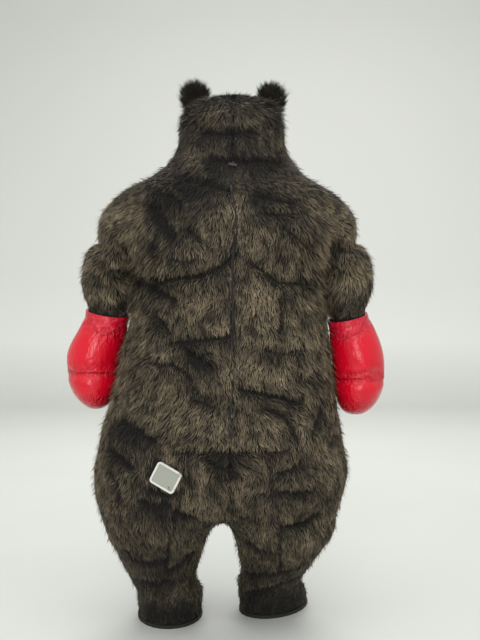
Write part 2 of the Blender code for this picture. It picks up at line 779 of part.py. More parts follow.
def draw_glove(side):
    """The outside of one glove, as a skin of cuff, hand and knuckle pad, and its mouth's points."""
    skin = Skin()
    back = 3 * GLOVE_SIDES // 4
    rings = []
    for number, row in enumerate(GLOVE[side]):
        tilt = MOUTH_TILT[number] if number < len(MOUTH_TILT) else 0.0
        rings.append(skin.ring(arm_ring(row, side, GLOVE_SIDES, tilt)))

    def panel_at(row):
        reach = CUFF_REACH[row] if row < len(CUFF_REACH) else 0
        below_cuff = "glove_hand_" if row < KNUCKLE_ROW else "glove_knuckles_"

        def name(column):
            return ("glove_cuff_" if abs(column + 0.5 - back) < reach else below_cuff) + side

        return name

    for row in range(len(rings) - 1):
        skin.strip(rings[row], rings[row + 1], panel_at(row))
    middle = sum((vert.co for vert in rings[-1]), Vector()) / GLOVE_SIDES
    tip = skin.mesh.verts.new(middle - mm(0, 0, GLOVE_TIP_ROUNDING))
    skin.cap(rings[-1], tip, panel_at(len(rings)), flip=True)
    if side == "left":
        bmesh.ops.reverse_faces(skin.mesh, faces=skin.mesh.faces)
    skin.mesh.normal_update()
    seam = {
        vert
        for vert in skin.mesh.verts
        if not vert.is_boundary and len({skin.panel_of[f] for f in vert.link_faces}) > 1
    }
    for vert in seam:
        vert.co -= vert.normal * GLOVE_SEAM_DEPTH * MM
    skin.mesh.normal_update()
    return skin, [vert.co - outward_way(vert) * PADDED_WALL * MM for vert in rings[0]]


def make_thumb(side, cutter, parent):
    """The stuffed thumb, cut back to the hand that it is sewn to."""
    sign = 1 if side == "right" else -1
    shift, drop = THUMB_PLACE[side]
    shift += ARM_SHIFT[side]
    rings = []
    for row in THUMB:
        middle = mm(sign * row.x + shift, row.y, row.z + drop)
        turns = [math.tau * i / THUMB_SIDES for i in range(THUMB_SIDES)]
        rings.append(
            [middle + mm(math.cos(a), math.sin(a), 0) * row.radius for a in turns]
        )
    first, last = THUMB[0], THUMB[-1]
    tips = (
        mm(sign * first.x + shift, first.y, first.z + drop + THUMB_ROOT_ROUNDING),
        mm(sign * last.x + shift, last.y, last.z + drop - THUMB_TIP_ROUNDING),
    )
    thumb = add_piece(
        "glove_thumb_" + side, stack(rings, tips), bpy.data.materials["glove_vinyl"], parent
    )
    cut_back(thumb, cutter)


def make_ears(cutter, parent):
    """Two stuffed ears, dished in front, set on the corners of the crown."""
    for side, ear in EARS.items():
        tilt = Matrix.Rotation(math.radians(ear.tilt), 3, "Y")
        root = mm(ear.x, EAR_Y, ear.z)
        rings = []
        for level in range(-1, EAR_LEVELS):
            lift = max(level, 0) / EAR_LEVELS
            spread = math.sqrt(1 - lift**2) if level >= 0 else EAR_ROOT_NARROWING
            height = EAR_HEIGHT * lift if level >= 0 else -EAR_ROOT
            ring = []
            for i in range(EAR_SIDES):
                a = math.tau * i / EAR_SIDES
                x = EAR_HALF_WIDTH * spread * math.cos(a)
                y = EAR_HALF_THICKNESS * spread**0.5 * math.sin(a)
                if y > 0 and lift < EAR_DISH_TOP:
                    y *= 1 - EAR_DISH * (1 - abs(math.cos(a)))
                elif y > 0:
                    y *= EAR_TIP_THINNING
                ring.append(root + tilt @ mm(x, y, height))
            rings.append(ring)
        tips = (root + tilt @ mm(0, 0, -EAR_ROOT), root + tilt @ mm(0, 0, EAR_HEIGHT))
        piece = add_piece("ear_" + side, stack(rings, tips), bpy.data.materials["fur"], parent)
        cut_back(piece, cutter)


def make_face_trims(tree, cutter, parent):
    """Two eyes and a nose, plain rounded buttons."""
    hard = bpy.data.materials["hard_trim"]
    middle_x = curve_of(BODY, "shift")(EYE_HEIGHT)
    for side, sign in (("left", -1), ("right", 1)):
        place, normal = surface_point(tree, middle_x + sign * EYE_X, EYE_HEIGHT, 1)
        across = normal.orthogonal().normalized()
        up = normal.cross(across)
        radius = EYE_RADIUS * MM
        solid = dome(place, across * radius, up * radius, normal * EYE_STAND_OUT * MM)
        cut_back(add_piece("eye_" + side, solid, hard, parent), cutter)
    place, normal = surface_point(tree, middle_x - NOSE_OFF_MIDDLE, NOSE_HEIGHT, 1)
    up = (Vector((0, 0, 1)) - normal * normal.z).normalized()
    across = up.cross(normal)
    solid = dome(
        place,
        across * NOSE_HALF_WIDTH * MM,
        up * NOSE_HALF_HEIGHT * MM,
        normal * NOSE_STAND_OUT * MM,
        sides=NOSE_SIDES,
        levels=NOSE_LEVELS,
    )
    cut_back(add_piece("nose", solid, hard, parent), cutter)


def patch_outline(half_width, half_height, corner, steps=3):
    """A rectangle with round corners, about its middle."""
    outline = []
    for quarter, (sx, sz) in enumerate(((1, 1), (-1, 1), (-1, -1), (1, -1))):
        for step in range(steps + 1):
            a = math.pi / 2 * (quarter + step / steps)
            outline.append(
                (
                    sx * (half_width - corner) + corner * math.cos(a),
                    sz * (half_height - corner) + corner * math.sin(a),
                )
            )
    return outline


def make_patch(tree, cutter, parent):
    """The pale patch on the left of the seat, and the bound edge round it."""
    x, z = PATCH_MIDDLE
    place, normal = surface_point(tree, x, z, -1)
    turn = Matrix.Rotation(math.radians(PATCH_TURN), 3, normal)
    up = turn @ (Vector((0, 0, 1)) - normal * normal.z).normalized()
    across = up.cross(normal)

    def outline(half_width, half_height, corner, lift):
        points = patch_outline(half_width, half_height, corner)
        return [place + (across * a + up * b + normal * lift) * MM for a, b in points]

    def blank(half_width, half_height, corner, lift):
        return [
            outline(half_width, half_height, corner, depth) for depth in (lift, -TRIM_ROOT)
        ]

    half_width, half_height = PATCH_WIDTH / 2, PATCH_HEIGHT / 2
    inset = BINDING_WIDTH + SEAM_GAP
    cloth = prism(blank(half_width - inset, half_height - inset, PATCH_CORNER, PATCH_THICKNESS))
    piece = add_piece("patch", cloth, bpy.data.materials["patch_cloth"], parent)
    cut_back(piece, cutter)
    rim = BINDING_WIDTH
    outer = blank(half_width, half_height, BINDING_CORNER, BINDING_THICKNESS)
    corner = PATCH_CORNER + SEAM_GAP
    inner = blank(half_width - rim, half_height - rim, corner, BINDING_THICKNESS)
    frame = bmesh.new()
    loops = [[frame.verts.new(p) for p in points] for points in (*outer, *inner)]
    count = len(loops[0])
    for a, b in ((0, 1), (1, 3), (3, 2), (2, 0)):
        for i in range(count):
            j = (i + 1) % count
            frame.faces.new((loops[a][i], loops[b][i], loops[b][j], loops[a][j]))
    bmesh.ops.recalc_face_normals(frame, faces=frame.faces)
    piece = add_piece("patch_binding", frame, bpy.data.materials["binding_tape"], parent)
    cut_back(piece, cutter)


def make_zip(verts, parent):
    """The zip's chain in the open seam of the back, and the slider across its top."""
    chain = bmesh.new()
    half = ZIP_WIDTH / 2 * MM
    loops = []
    for number, vert in enumerate(verts):
        before = verts[max(number - 1, 0)].co
        after = verts[min(number + 1, len(verts) - 1)].co
        across = (after - before).cross(vert.normal).normalized() * half
        top = vert.co - vert.normal * ZIP_SINK * MM
        under = top - vert.normal * ZIP_THICKNESS * MM
        corners = (top + across, top - across, under - across, under + across)
        loops.append([chain.verts.new(corner) for corner in corners])
    for above, below in zip(loops, loops[1:]):
        for i in range(4):
            j = (i + 1) % 4
            chain.faces.new((above[i], below[i], below[j], above[j]))
    chain.faces.new(loops[0])
    chain.faces.new(list(reversed(loops[-1])))
    bmesh.ops.recalc_face_normals(chain, faces=chain.faces)
    metal = bpy.data.materials["zip_metal"]
    add_piece("zip_chain", chain, metal, parent)

    first, second = verts[0].co, verts[1].co
    normal = (verts[0].normal + verts[1].normal).normalized()
    down = (second - first).normalized()
    normal = (normal - down * normal.dot(down)).normalized()
    across = down.cross(normal)
    middle = first.lerp(second, PULL_PLACE)
    neck = PULL_NECK
    wing = PULL_WIDTH / 2
    low, lip, high = 2 * SEAM_GAP - ZIP_SINK, PULL_LIFT, PULL_LIFT + PULL_THICKNESS
    profile = [
        (-neck, low), (neck, low), (neck, lip), (wing, lip), (wing, high), (-wing, high),
        (-wing, lip), (-neck, lip),
    ]
    ends = [
        [middle + (across * a + normal * b + down * c) * MM for a, b in profile]
        for c in (-PULL_HEIGHT / 2, PULL_HEIGHT / 2)
    ]
    add_piece("zip_slider", prism(ends), metal, parent, smooth=False)


def build():
    for old in list(bpy.data.objects):
        bpy.data.objects.remove(old)
    for name in FINISHES:
        make_finish(name)
    fur = bpy.data.materials["fur"]
    held = bpy.data.objects.new("costume", None)
    held.location.z = -HOLD_HEIGHT * MM
    bpy.context.scene.collection.objects.link(held)

    skin = Skin()
    rings, heights = draw_body(skin)
    last = rings[-1]
    for column, lift in SEAT_LIFT.items():
        last[column].co.z += lift * MM
    back_end, front_end = last[0].co, last[FRONT].co
    fork = []
    for i in range(CROTCH_POINTS):
        t = 1 - (i + 1) / (CROTCH_POINTS + 1)
        point = back_end.lerp(front_end, t)
        sag = math.sin(math.pi * t)
        height = FORK_HEIGHT * MM + FORK_RISE * max(0.0, -point.y)
        fork.append(Vector((point.x, point.y, point.z + (height - point.z) * sag)))
    skin.fork = skin.ring(fork)
    loops = {side: armhole_loop(rings, heights, side) for side in ("left", "right")}
    gloves = {}
    for side, loop in loops.items():
        gloves[side], lip = draw_glove(side)
        draw_arm(skin, loop, side, lip)
    outlines = {side: draw_leg(skin, last, side) for side in ("left", "right")}
    bmesh.ops.recalc_face_normals(skin.mesh, faces=skin.mesh.faces)

    soft = {vert for loop in loops.values() for vert in loop}
    soft |= set(skin.fork) | set(last)
    soft |= {edge.other_vert(vert) for vert in list(soft) for edge in vert.link_edges}
    skin.relax(sorted(soft, key=lambda vert: vert.index), 2)
    fold_cloth(skin, rings, heights)

    zip_rows = [
        ring[0] for ring, z in zip(rings, heights) if WAIST_SEAM < z <= ZIP_TOP
    ]
    for above, below in zip(zip_rows, zip_rows[1:]):
        skin.wide_seams.add(skin.mesh.edges.get((above, below)))
    make_panels(skin, FUR_WALL, fur, held)

    cutter = closed_copy(skin, "body_cutter", held)
    tree = BVHTree.FromBMesh(skin.mesh)
    make_ears(cutter, held)
    make_face_trims(tree, cutter, held)
    make_patch(tree, cutter, held)
    make_zip(zip_rows, held)
    make_soles(outlines, held)
    for side, glove in gloves.items():
        make_panels(glove, PADDED_WALL, bpy.data.materials["glove_vinyl"], held)
        glove_cutter = closed_copy(glove, "glove_cutter_" + side, held)
        make_thumb(side, glove_cutter, held)


build()
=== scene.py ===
# %% [markdown]
# # A worn bear costume of long fur cloth, with padded boxing gloves
#
# The costume stands as it does when it is worn: a hollow skin of sewn fur panels with a bear's
# head, and glossy boxing gloves at the ends of its sleeves. This script dresses the plain solids
# of the costume with cloth, pile, vinyl and trims.
#
# It starts by loading those solids, which give every piece its place and size. They are in
# metres. Z is up, the bear faces +Y, and the height where its wearer's shoulders carry it is 0.

import math
from functools import partial

import bmesh
import bpy
import numpy as np
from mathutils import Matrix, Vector, noise
from mathutils.bvhtree import BVHTree
from mathutils.kdtree import KDTree


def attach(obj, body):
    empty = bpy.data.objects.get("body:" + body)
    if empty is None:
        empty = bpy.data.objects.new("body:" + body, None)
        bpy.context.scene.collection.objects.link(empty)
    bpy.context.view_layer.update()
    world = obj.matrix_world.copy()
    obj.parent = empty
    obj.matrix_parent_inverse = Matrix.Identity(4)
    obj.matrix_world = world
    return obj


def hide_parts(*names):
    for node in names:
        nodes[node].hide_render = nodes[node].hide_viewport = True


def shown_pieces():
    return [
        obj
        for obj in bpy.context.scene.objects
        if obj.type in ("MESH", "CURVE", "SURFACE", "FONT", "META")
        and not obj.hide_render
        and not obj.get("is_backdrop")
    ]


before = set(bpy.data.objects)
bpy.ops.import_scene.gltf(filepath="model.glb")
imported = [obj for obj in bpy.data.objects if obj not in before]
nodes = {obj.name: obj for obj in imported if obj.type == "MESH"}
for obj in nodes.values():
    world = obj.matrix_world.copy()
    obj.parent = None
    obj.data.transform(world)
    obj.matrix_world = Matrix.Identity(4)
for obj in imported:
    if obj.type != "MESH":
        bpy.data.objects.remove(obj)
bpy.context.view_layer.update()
MM = 0.001
SOLES = -1.45  # the height of the floor under the soles

# %% [markdown]
# ## The camera, the floor and the lights
#
# A costume is photographed in a pale room with large soft lights, so that its dark pile still
# shows its folds. The camera stands 3.3 m behind it at chest height and looks straight ahead. Its
# lens is worked out from the height of the picture at that distance. The floor curves up into a
# wall, as a paper roll does in a studio, so no corner shows behind the feet.

# %% Camera
VIEW_DISTANCE = 3.3
VIEW_HEIGHT = 2.368  # how much the picture shows from its foot to its head, at the costume
SENSOR_HEIGHT = 36.0


def new_object(name, data):
    """Puts a mesh, a light or a camera into the scene."""
    made = bpy.data.objects.new(name, data)
    bpy.context.scene.collection.objects.link(made)
    return made


camera = new_object("camera", bpy.data.cameras.new("camera"))
camera.data.sensor_fit = "VERTICAL"
camera.data.sensor_height = SENSOR_HEIGHT
camera.data.lens = SENSOR_HEIGHT * VIEW_DISTANCE / VIEW_HEIGHT
camera.location = (0.044, -VIEW_DISTANCE, -0.34)
camera.rotation_euler = (math.radians(90), 0, 0)
bpy.context.scene.camera = camera
print("lens in mm:", round(camera.data.lens, 1))

# %% Colours and nodes
# Short names for the kinds of node that come up most.
MIX, MATH, VECTOR_MATH = "ShaderNodeMix", "ShaderNodeMath", "ShaderNodeVectorMath"
NOISE, VORONOI, RANGE = "ShaderNodeTexNoise", "ShaderNodeTexVoronoi", "ShaderNodeMapRange"
ATTRIBUTE, COORDINATES, BUMP = "ShaderNodeAttribute", "ShaderNodeTexCoord", "ShaderNodeBump"
STORED, RANDOM = "GeometryNodeInputNamedAttribute", "FunctionNodeRandomValue"


def linear(code):
    """The linear colour of an sRGB hex code, which is what Blender's sockets take."""
    channels = [int(code[i : i + 2], 16) / 255 for i in (0, 2, 4)]
    return (*(c / 12.92 if c <= 0.04045 else ((c + 0.055) / 1.055) ** 2.4 for c in channels), 1.0)


def add_node(tree, kind, inputs=None, **settings):
    """Adds a node, sets it up, and fills its sockets with values, hex colours or other outputs."""
    node = tree.nodes.new(kind)
    for name, value in settings.items():
        setattr(node, name, value)
    for key, value in (inputs or {}).items():
        named = (socket for socket in node.inputs if socket.enabled and socket.name == key)
        socket = node.inputs[key] if isinstance(key, int) else next(named)
        if isinstance(value, bpy.types.Node):
            value = next(output for output in value.outputs if output.enabled)
        if isinstance(value, bpy.types.NodeSocket):
            tree.links.new(value, socket)
        else:
            socket.default_value = linear(value) if socket.type == "RGBA" else value
    return node


def new_finish(name, **surface):
    """A material with one Principled surface, and a shorter way to add nodes to it."""
    finish = bpy.data.materials.new(name)
    finish.use_nodes = True
    shader = finish.node_tree.nodes["Principled BSDF"]
    for key, value in surface.items():
        shader.inputs[key.replace("_", " ")].default_value = value
    return finish, partial(add_node, finish.node_tree)


def join_surface(finish, colour, relief=None):
    """Lets nodes give a finish its colour and its relief."""
    tree = finish.node_tree
    for key, node in (("Base Color", colour), ("Normal", relief)):
        if node:
            output = next(socket for socket in node.outputs if socket.enabled)
            tree.links.new(output, tree.nodes["Principled BSDF"].inputs[key])
    return finish


def grained_finish(name, dark, light, pattern, scale, detail, depth, strength, **surface):
    """Two colours mixed by a fine pattern, which is the relief as well where it has a depth."""
    finish, add = new_finish(name, **surface)
    place = add(COORDINATES).outputs["Object"]
    grain = add(pattern, {"Vector": place, "Scale": scale, "Detail": detail})
    colour = add(MIX, {"Factor": grain, "A": dark, "B": light}, data_type="RGBA")
    if not depth:
        return join_surface(finish, colour)
    relief = add(BUMP, {"Height": grain, "Distance": depth, "Strength": strength})
    return join_surface(finish, colour, relief)


print("a mid grey in linear light:", round(linear("808080")[0], 3))

# %% Floor, wall and lights
FLOOR_REACH, FLOOR_BACK, BEND, WALL_TOP = 13.0, 8.0, 1.6, 12.0  # metres
LIGHTS = {  # place, target, width and height in metres, and power in watts
    "ceiling_softbox": ((0.0, -1.0, 2.6), (0.0, 0.0, -0.4), (3.6, 3.0), 58.0),
    "window_behind_camera": ((-0.5, -4.6, 0.9), (0.0, 0.0, -0.5), (1.8, 2.6), 74.0),
    "window_in_front": ((0.3, 4.6, 3.5), (0.0, 0.2, -1.2), (4.0, 1.6), 125.0),
    "wall_wash": ((0.8, 4.8, 4.6), (0.5, 9.0, -0.6), (7.0, 1.5), 115.0),
}


def mesh_object(mesh, name):
    """A new object from a working mesh."""
    data = bpy.data.meshes.new(name)
    mesh.to_mesh(data)
    return new_object(name, data)


def pale_room():
    """A floor that curves up into a wall, as one sheet, with painted light graded by height."""
    bend = [(BEND * math.sin(a), BEND - BEND * math.cos(a)) for a in np.linspace(0.1, 1.57, 16)]
    profile = [(-FLOOR_REACH, 0.0), (FLOOR_BACK, 0.0)]
    profile += [(FLOOR_BACK + y, z) for y, z in bend + [(BEND, WALL_TOP)]]
    mesh = bmesh.new()
    rows = [
        [mesh.verts.new((x, y, z + SOLES)) for x in (-FLOOR_REACH, FLOOR_REACH)] for y, z in profile
    ]
    for low, high in zip(rows, rows[1:]):
        mesh.faces.new((low[0], low[1], high[1], high[0]))
    floor = mesh_object(mesh, "studio_floor")
    floor.data.shade_smooth()
    finish, add = new_finish("painted studio floor", Roughness=0.55)
    place = add(COORDINATES).outputs["Object"]
    spread = add(NOISE, {"Vector": place, "Scale": 0.9})
    colour = add(MIX, {"Factor": spread, "A": "D0D1CC", "B": "D7D8D4"}, data_type="RGBA")
    height = add("ShaderNodeSeparateXYZ", {"Vector": place}).outputs["Z"]
    # Painted light: the sheet is painted lighter from the floor up to 0.8 m, and darker again from
    # 1.5 m to 5.5 m.
    for low, high, tint in ((0.0, 0.8, "EDEEE9"), (1.5, 5.5, "D4D5D0")):
        share = add(RANGE, {"Value": height, "From Min": SOLES + low, "From Max": SOLES + high})
        colour = add(MIX, {"Factor": share, "A": colour, "B": tint}, data_type="RGBA")
    floor.data.materials.append(join_surface(finish, colour))
    floor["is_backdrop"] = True


pale_room()
for name, (place, target, size, power) in LIGHTS.items():
    lamp = new_object(name, bpy.data.lights.new(name, "AREA"))
    lamp.data.shape = "RECTANGLE"
    lamp.data.size, lamp.data.size_y = size
    lamp.data.energy = power
    lamp.location = place
    lamp.rotation_euler = (Vector(target) - Vector(place)).to_track_quat("-Z", "Y").to_euler()
world = bpy.data.worlds.new("pale room")
world.use_nodes = True
world.node_tree.nodes["Background"].inputs["Color"].default_value = linear("EEF0EE")
world.node_tree.nodes["Background"].inputs["Strength"].default_value = 0.8
bpy.context.scene.world = world
bpy.context.scene.view_settings.view_transform = "Standard"
print("lights:", len(LIGHTS))

# %% [markdown]
# ## The cloth's outside, from the solids
#
# Each fur panel of the solids is a closed wall, with an outside, an inside and a rim. Cloth and
# pile need its outside alone. A face belongs to the outside when open air lies just off it. To
# test that, rays are sent from it in a few directions. A ray that starts in open air crosses an
# even number of walls on its way out of the costume, and one that starts in the hollow crosses
# an odd number. All the faces on one side of a wall vote together, so an unlucky ray does no harm.

# %% Find the outside faces
PROBE_WAYS = (0.21, -1, 0.13), (-0.17, 1, 0.11), (1, 0.19, 0.23), (-1, -0.13, 0.29), (0.11, 0.07, 1)
PROBE_START, PROBE_STEP = 2 * MM, 0.01 * MM  # off the first face, and off each face it crosses
SAME_POINT, SAME_LENGTH = 0.02 * MM, 0.03 * MM
FUR_WALL = 12 * MM
PADDED_WALL = 9 * MM
VOTERS = 40  # about how many faces of one side vote


def merged(node):
    """A copy of a solid in which the triangles share their points."""
    mesh = bmesh.new()
    mesh.from_mesh(nodes[node].data)
    bmesh.ops.remove_doubles(mesh, verts=mesh.verts, dist=SAME_POINT)
    mesh.normal_update()
    return mesh


def walls_of(names):
    """All the named solids as one tree for casting rays."""
    mesh = bmesh.new()
    for name in names:
        mesh.from_mesh(nodes[name].data)
    return BVHTree.FromBMesh(mesh)


def open_air(walls, place, normal):
    """Whether most rays from just off a face cross an even number of walls, of two faces each."""
    votes = 0
    for way in PROBE_WAYS:
        way = Vector(way).normalized()
        crossed, start = 0, place + normal * PROBE_START
        while (hit := walls.ray_cast(start, way)[0]) is not None:
            crossed += 1
            start = hit + way * PROBE_STEP
        votes += 1 if crossed % 4 == 0 else -1
    return votes > 0


def outside_of(node, walls, wall):
    """The outside faces of a solid. Its rim's faces have an edge as long as the wall is thick."""
    mesh = merged(node)
    rim = {
        face
        for face in mesh.faces
        if any(abs(edge.calc_length() - wall) < SAME_LENGTH for edge in face.edges)
    }
    unseen = set(mesh.faces) - rim
    unwanted = list(rim)
    while unseen:
        island, front = [], [unseen.pop()]
        while front:
            face = front.pop()
            island.append(face)
            for edge in face.edges:
                for other in edge.link_faces:
                    if other in unseen:
                        unseen.discard(other)
                        front.append(other)
        sample = island[:: max(1, len(island) // VOTERS)]
        votes = (open_air(walls, face.calc_center_median(), face.normal) for face in sample)
        if sum(votes) < len(sample) / 2:
            unwanted += island
    bmesh.ops.delete(mesh, geom=unwanted, context="FACES")
    return mesh


SIDES = ("left", "right")
PAIRS = "hood_back", "back", "front", "shoulder", "sleeve", "seat", "leg_side", "leg_front", "foot"
PANELS = ["face", "muzzle"] + [f"{name}_{side}" for name in PAIRS for side in SIDES]
TRIMS = ("eye", "nose", "ear", "patch", "zip")
walls = walls_of([name for name in nodes if not name.startswith(TRIMS)])
outsides = {panel: outside_of(panel, walls, FUR_WALL) for panel in PANELS}
for panel, mesh in outsides.items():
    print(panel, len(mesh.faces), "faces", round(sum(f.calc_area() for f in mesh.faces), 3), "m2")

# %% [markdown]
# ## One skin for the whole costume
#
# The panels are sewn edge to edge, so they are welded across their seams into one skin that
# remembers which panel each face belongs to. The zip's seam stays open, because the two edges
# are wider apart there. Pairs of triangles are joined back to four-sided faces, and subdivision
# rounds them. Two skins come out of it: a coarse one for the backing cloth, and a fine one for
# the roots of the pile, which needs its parting lines sharp.

# %% Weld, join and round the skin
SEAM_WELD = 0.9 * MM


def join_pairs(mesh):
    """Joins pairs of triangles to four-sided faces where they make good ones."""
    bmesh.ops.join_triangles(
        mesh, faces=mesh.faces, cmp_seam=False, angle_face_threshold=math.radians(50),
        angle_shape_threshold=math.radians(70),
    )
    return mesh


def weld_panels(parts):
    """One mesh of all the parts, with the number of its part on every face."""
    skin = bmesh.new()
    layer = skin.faces.layers.int.new("panel")
    for number, mesh in enumerate(parts):
        made = {vert: skin.verts.new(vert.co) for vert in mesh.verts}
        for face in mesh.faces:
            skin.faces.new([made[vert] for vert in face.verts])[layer] = number
    loose = [vert for vert in skin.verts if vert.is_boundary]
    bmesh.ops.remove_doubles(skin, verts=loose, dist=SEAM_WELD)
    skin.normal_update()
    return join_pairs(skin)


def bake_modifiers(piece):
    """Replaces an object's mesh by what its modifiers make of it."""
    bpy.context.view_layer.update()
    graph = bpy.context.evaluated_depsgraph_get()
    data = bpy.data.meshes.new_from_object(
        piece.evaluated_get(graph), preserve_all_data_layers=True, depsgraph=graph
    )
    piece.modifiers.clear()
    old, piece.data = piece.data, data
    bpy.data.meshes.remove(old)
    return piece


def rounded(skin, name, levels):
    """A subdivided mesh object made from a copy of a skin."""
    piece = mesh_object(skin, name)
    smooth = piece.modifiers.new("round", "SUBSURF")
    smooth.levels = smooth.render_levels = levels
    smooth.boundary_smooth = "PRESERVE_CORNERS"
    return bake_modifiers(piece)


pelt = weld_panels([outsides[name] for name in PANELS])
print("faces:", len(pelt.faces), "open edges:", sum(edge.is_boundary for edge in pelt.edges))

# %% [markdown]
# ## Folds, gathers and seams
#
# Worn fur cloth falls into soft folds, pulls into short hooks beside its seams, and sinks a
# little at each seam. Each one is a line, in millimetres from the middle of the costume and above
# its soles. A line has a depth, a half width and a swell just below it, where the pile above
# hangs over the cloth. The wide folds are in the solids already, so these are the narrower ones.
# Those in front are like those on the back, in other places, as a body bends the same cloth.

# %% Lines of the folds
BACK, FRONT = -1, 1
# depth, half width, swell, then x and height of each point of the line
FOLDS = {
    BACK: [
        (4, 5, 1, 20, 1890, 20, 1773, 23, 1668), (9, 15, 5, -82, 1780, 2, 1769, 89, 1783),
        (10, 15, 6, -50, 1678, 65, 1671, 187, 1682), (9, 14, 5, -136, 1603, -65, 1586, 10, 1562),
        (7, 13, 4, 95, 1545, 166, 1532, 238, 1518), (11, 20, 5, -255, 1511, -228, 1457, -187, 1402),
        (7, 11, 4, -136, 1426, -106, 1406, -72, 1379), (7, 11, 4, 129, 1484, 194, 1481, 258, 1487),
        (12, 14, 8, 27, 1341, -24, 1297, -109, 1266, -187, 1260, -255, 1243),
        (10, 13, 6, 88, 1311, 139, 1273, 190, 1246, 285, 1246),
        (10, 12, 6, -418, 1280, -337, 1280, -286, 1263, -242, 1222, -187, 1188),
        (10, 12, 0, 183, 1192, 194, 1137, 183, 1073),
        (7, 11, 3, -279, 1168, -255, 1137, -228, 1107),
        (8, 10, 4, -250, 1562, -205, 1548, -160, 1520), (8, 9, 4, 196, 1436, 246, 1404, 296, 1368),
        (7, 9, 3, -196, 1330, -150, 1318, -112, 1326), (8, 9, 4, -136, 1004, -104, 990, -62, 1001),
        (7, 8, 3, -130, 974, -98, 961, -66, 968), (8, 10, 4, -292, 988, -246, 968, -188, 962),
        (7, 9, 3, -246, 1124, -214, 1098, -198, 1066), (8, 10, 4, -258, 548, -214, 532, -166, 540),
        (8, 9, 4, -52, 640, -20, 618, 18, 622), (7, 9, 3, -40, 590, -8, 576, 24, 584),
        (8, 9, 4, -410, 596, -384, 560, -368, 512), (8, 10, 4, 140, 1012, 206, 1000, 262, 1014),
        (7, 9, 4, 228, 940, 262, 912, 300, 902),
        (9, 12, 5, -194, 1039, -126, 1045, -51, 1052, 13, 1062),
        (9, 11, 5, -140, 1018, -99, 981, -55, 957),
        (7, 12, 3, -194, 974, -146, 943, -119, 913, -116, 879),
        (12, 13, 8, 44, 882, 119, 865, 197, 845, 251, 824),
        (9, 13, 5, 129, 814, 190, 784, 217, 750, 238, 712),
        (7, 12, 4, -109, 848, -72, 835, -34, 818),
        (10, 15, 5, -364, 767, -320, 746, -276, 726, -240, 702),
        (11, 14, 6, -422, 664, -371, 644, -320, 614), (8, 12, 4, 333, 818, 323, 777, 302, 733),
        (7, 10, 4, 179, 597, 213, 604, 250, 621), (9, 12, 5, 186, 533, 233, 523, 287, 523),
        (10, 12, 6, 321, 435, 270, 411, 189, 405), (7, 12, 4, -294, 506, -256, 492, -216, 496),
        (9, 12, 5, -169, 469, -142, 455, -115, 452),
        (10, 12, 6, -372, 308, -338, 280, -296, 266, -226, 280),
        (9, 11, 5, -198, 232, -159, 256, -120, 291), (8, 11, 5, -302, 182, -260, 179, -215, 186),
        (7, 11, 4, 54, 336, 100, 312, 142, 302), (8, 11, 5, 65, 186, 121, 193, 212, 210),
        (7, 10, 4, 86, 95, 142, 126, 202, 148, 264, 165),
        (11, 8, 6, -160, 668, -130, 672, -20, 671, 100, 668, 190, 668, 212, 676),
    ],
    FRONT: [
        (10, 14, 6, -120, 1640, -30, 1618, 70, 1622, 150, 1644),
        (9, 14, 5, -250, 1520, -190, 1478, -120, 1460), (9, 14, 5, 262, 1512, 196, 1466, 110, 1452),
        (11, 13, 6, -320, 1290, -258, 1262, -196, 1226, -150, 1180),
        (10, 13, 6, 332, 1276, 262, 1240, 206, 1214), (8, 12, 5, -80, 1330, -20, 1300, 60, 1296),
        (9, 13, 5, -210, 1082, -120, 1056, -20, 1050, 70, 1068),
        (8, 12, 5, 96, 1136, 150, 1104, 228, 1110),
        (11, 14, 6, 90, 944, 170, 912, 250, 920, 320, 950),
        (8, 12, 4, -150, 930, -96, 900, -60, 862),
        (11, 14, 6, -330, 866, -250, 826, -160, 806, -70, 812),
        (8, 12, 4, 20, 790, 90, 770, 150, 780), (10, 13, 6, 392, 742, 340, 716, 276, 700),
        (9, 13, 5, -400, 640, -340, 616, -280, 610), (10, 13, 5, -330, 560, -250, 532, -170, 520),
        (10, 13, 5, 110, 548, 190, 530, 300, 560), (8, 12, 4, -60, 510, -20, 470, -24, 430),
        (9, 12, 5, -350, 352, -290, 322, -200, 318), (9, 12, 5, 110, 320, 190, 306, 270, 332),
        (8, 11, 5, -310, 226, -250, 214, -190, 226), (8, 11, 5, 100, 222, 160, 212, 224, 230),
    ],
}
# x and height of each point of a seam
SEAMS = {
    BACK: [
        (17, 654, 14, 604, 10, 553, 12, 500, 17, 452),
        (-125, 664, -148, 553, -175, 452, -208, 319, -212, 218),
        (132, 664, 162, 553, 176, 401, 184, 218), (-293, 1443, -313, 1348, -320, 1263, -327, 1137),
        (360, 1443, 377, 1375, 353, 1280, 340, 1117),
    ],
    FRONT: [
        (-370, 652, -200, 650, 0, 650, 180, 650, 350, 652), (0, 640, -8, 560, -16, 470, -22, 410),
    ],
}
SEAM_DEPTH, SEAM_WIDTH = 8, 6


def flat_of(places):
    """Each place as x and height above the soles, in millimetres."""
    return np.column_stack((places[:, 0], places[:, 2] - SOLES)) / MM


def gaps_to(places, line):
    """For each stretch of a line, its way, and how far each place is from it."""
    points = np.reshape(line, (-1, 2)).astype(float)
    for start, end in zip(points, points[1:]):
        along = end - start
        share = np.clip(((places - start) @ along) / (along @ along), 0, 1)
        yield along, places - start - share[:, None] * along


def nearness(places, line, width):
    """How near each place, as x and height, is to a line, from 0 to 1, and how near it is to the
    bands just below and just above that line."""
    offsets = ((0, 0), (0, 1.7 * width), (0, -1.4 * width))
    best = np.zeros((len(offsets), len(places)))
    for _, gap in gaps_to(places, line):
        for row, offset in zip(best, offsets):
            np.maximum(row, np.exp(-((gap + offset) ** 2).sum(1) / width**2), out=row)
    return best


def facing(side, normals):
    """How much the cloth faces a side, from 0 to 1."""
    return np.clip(side * normals[:, 1], 0, 1) ** 0.5


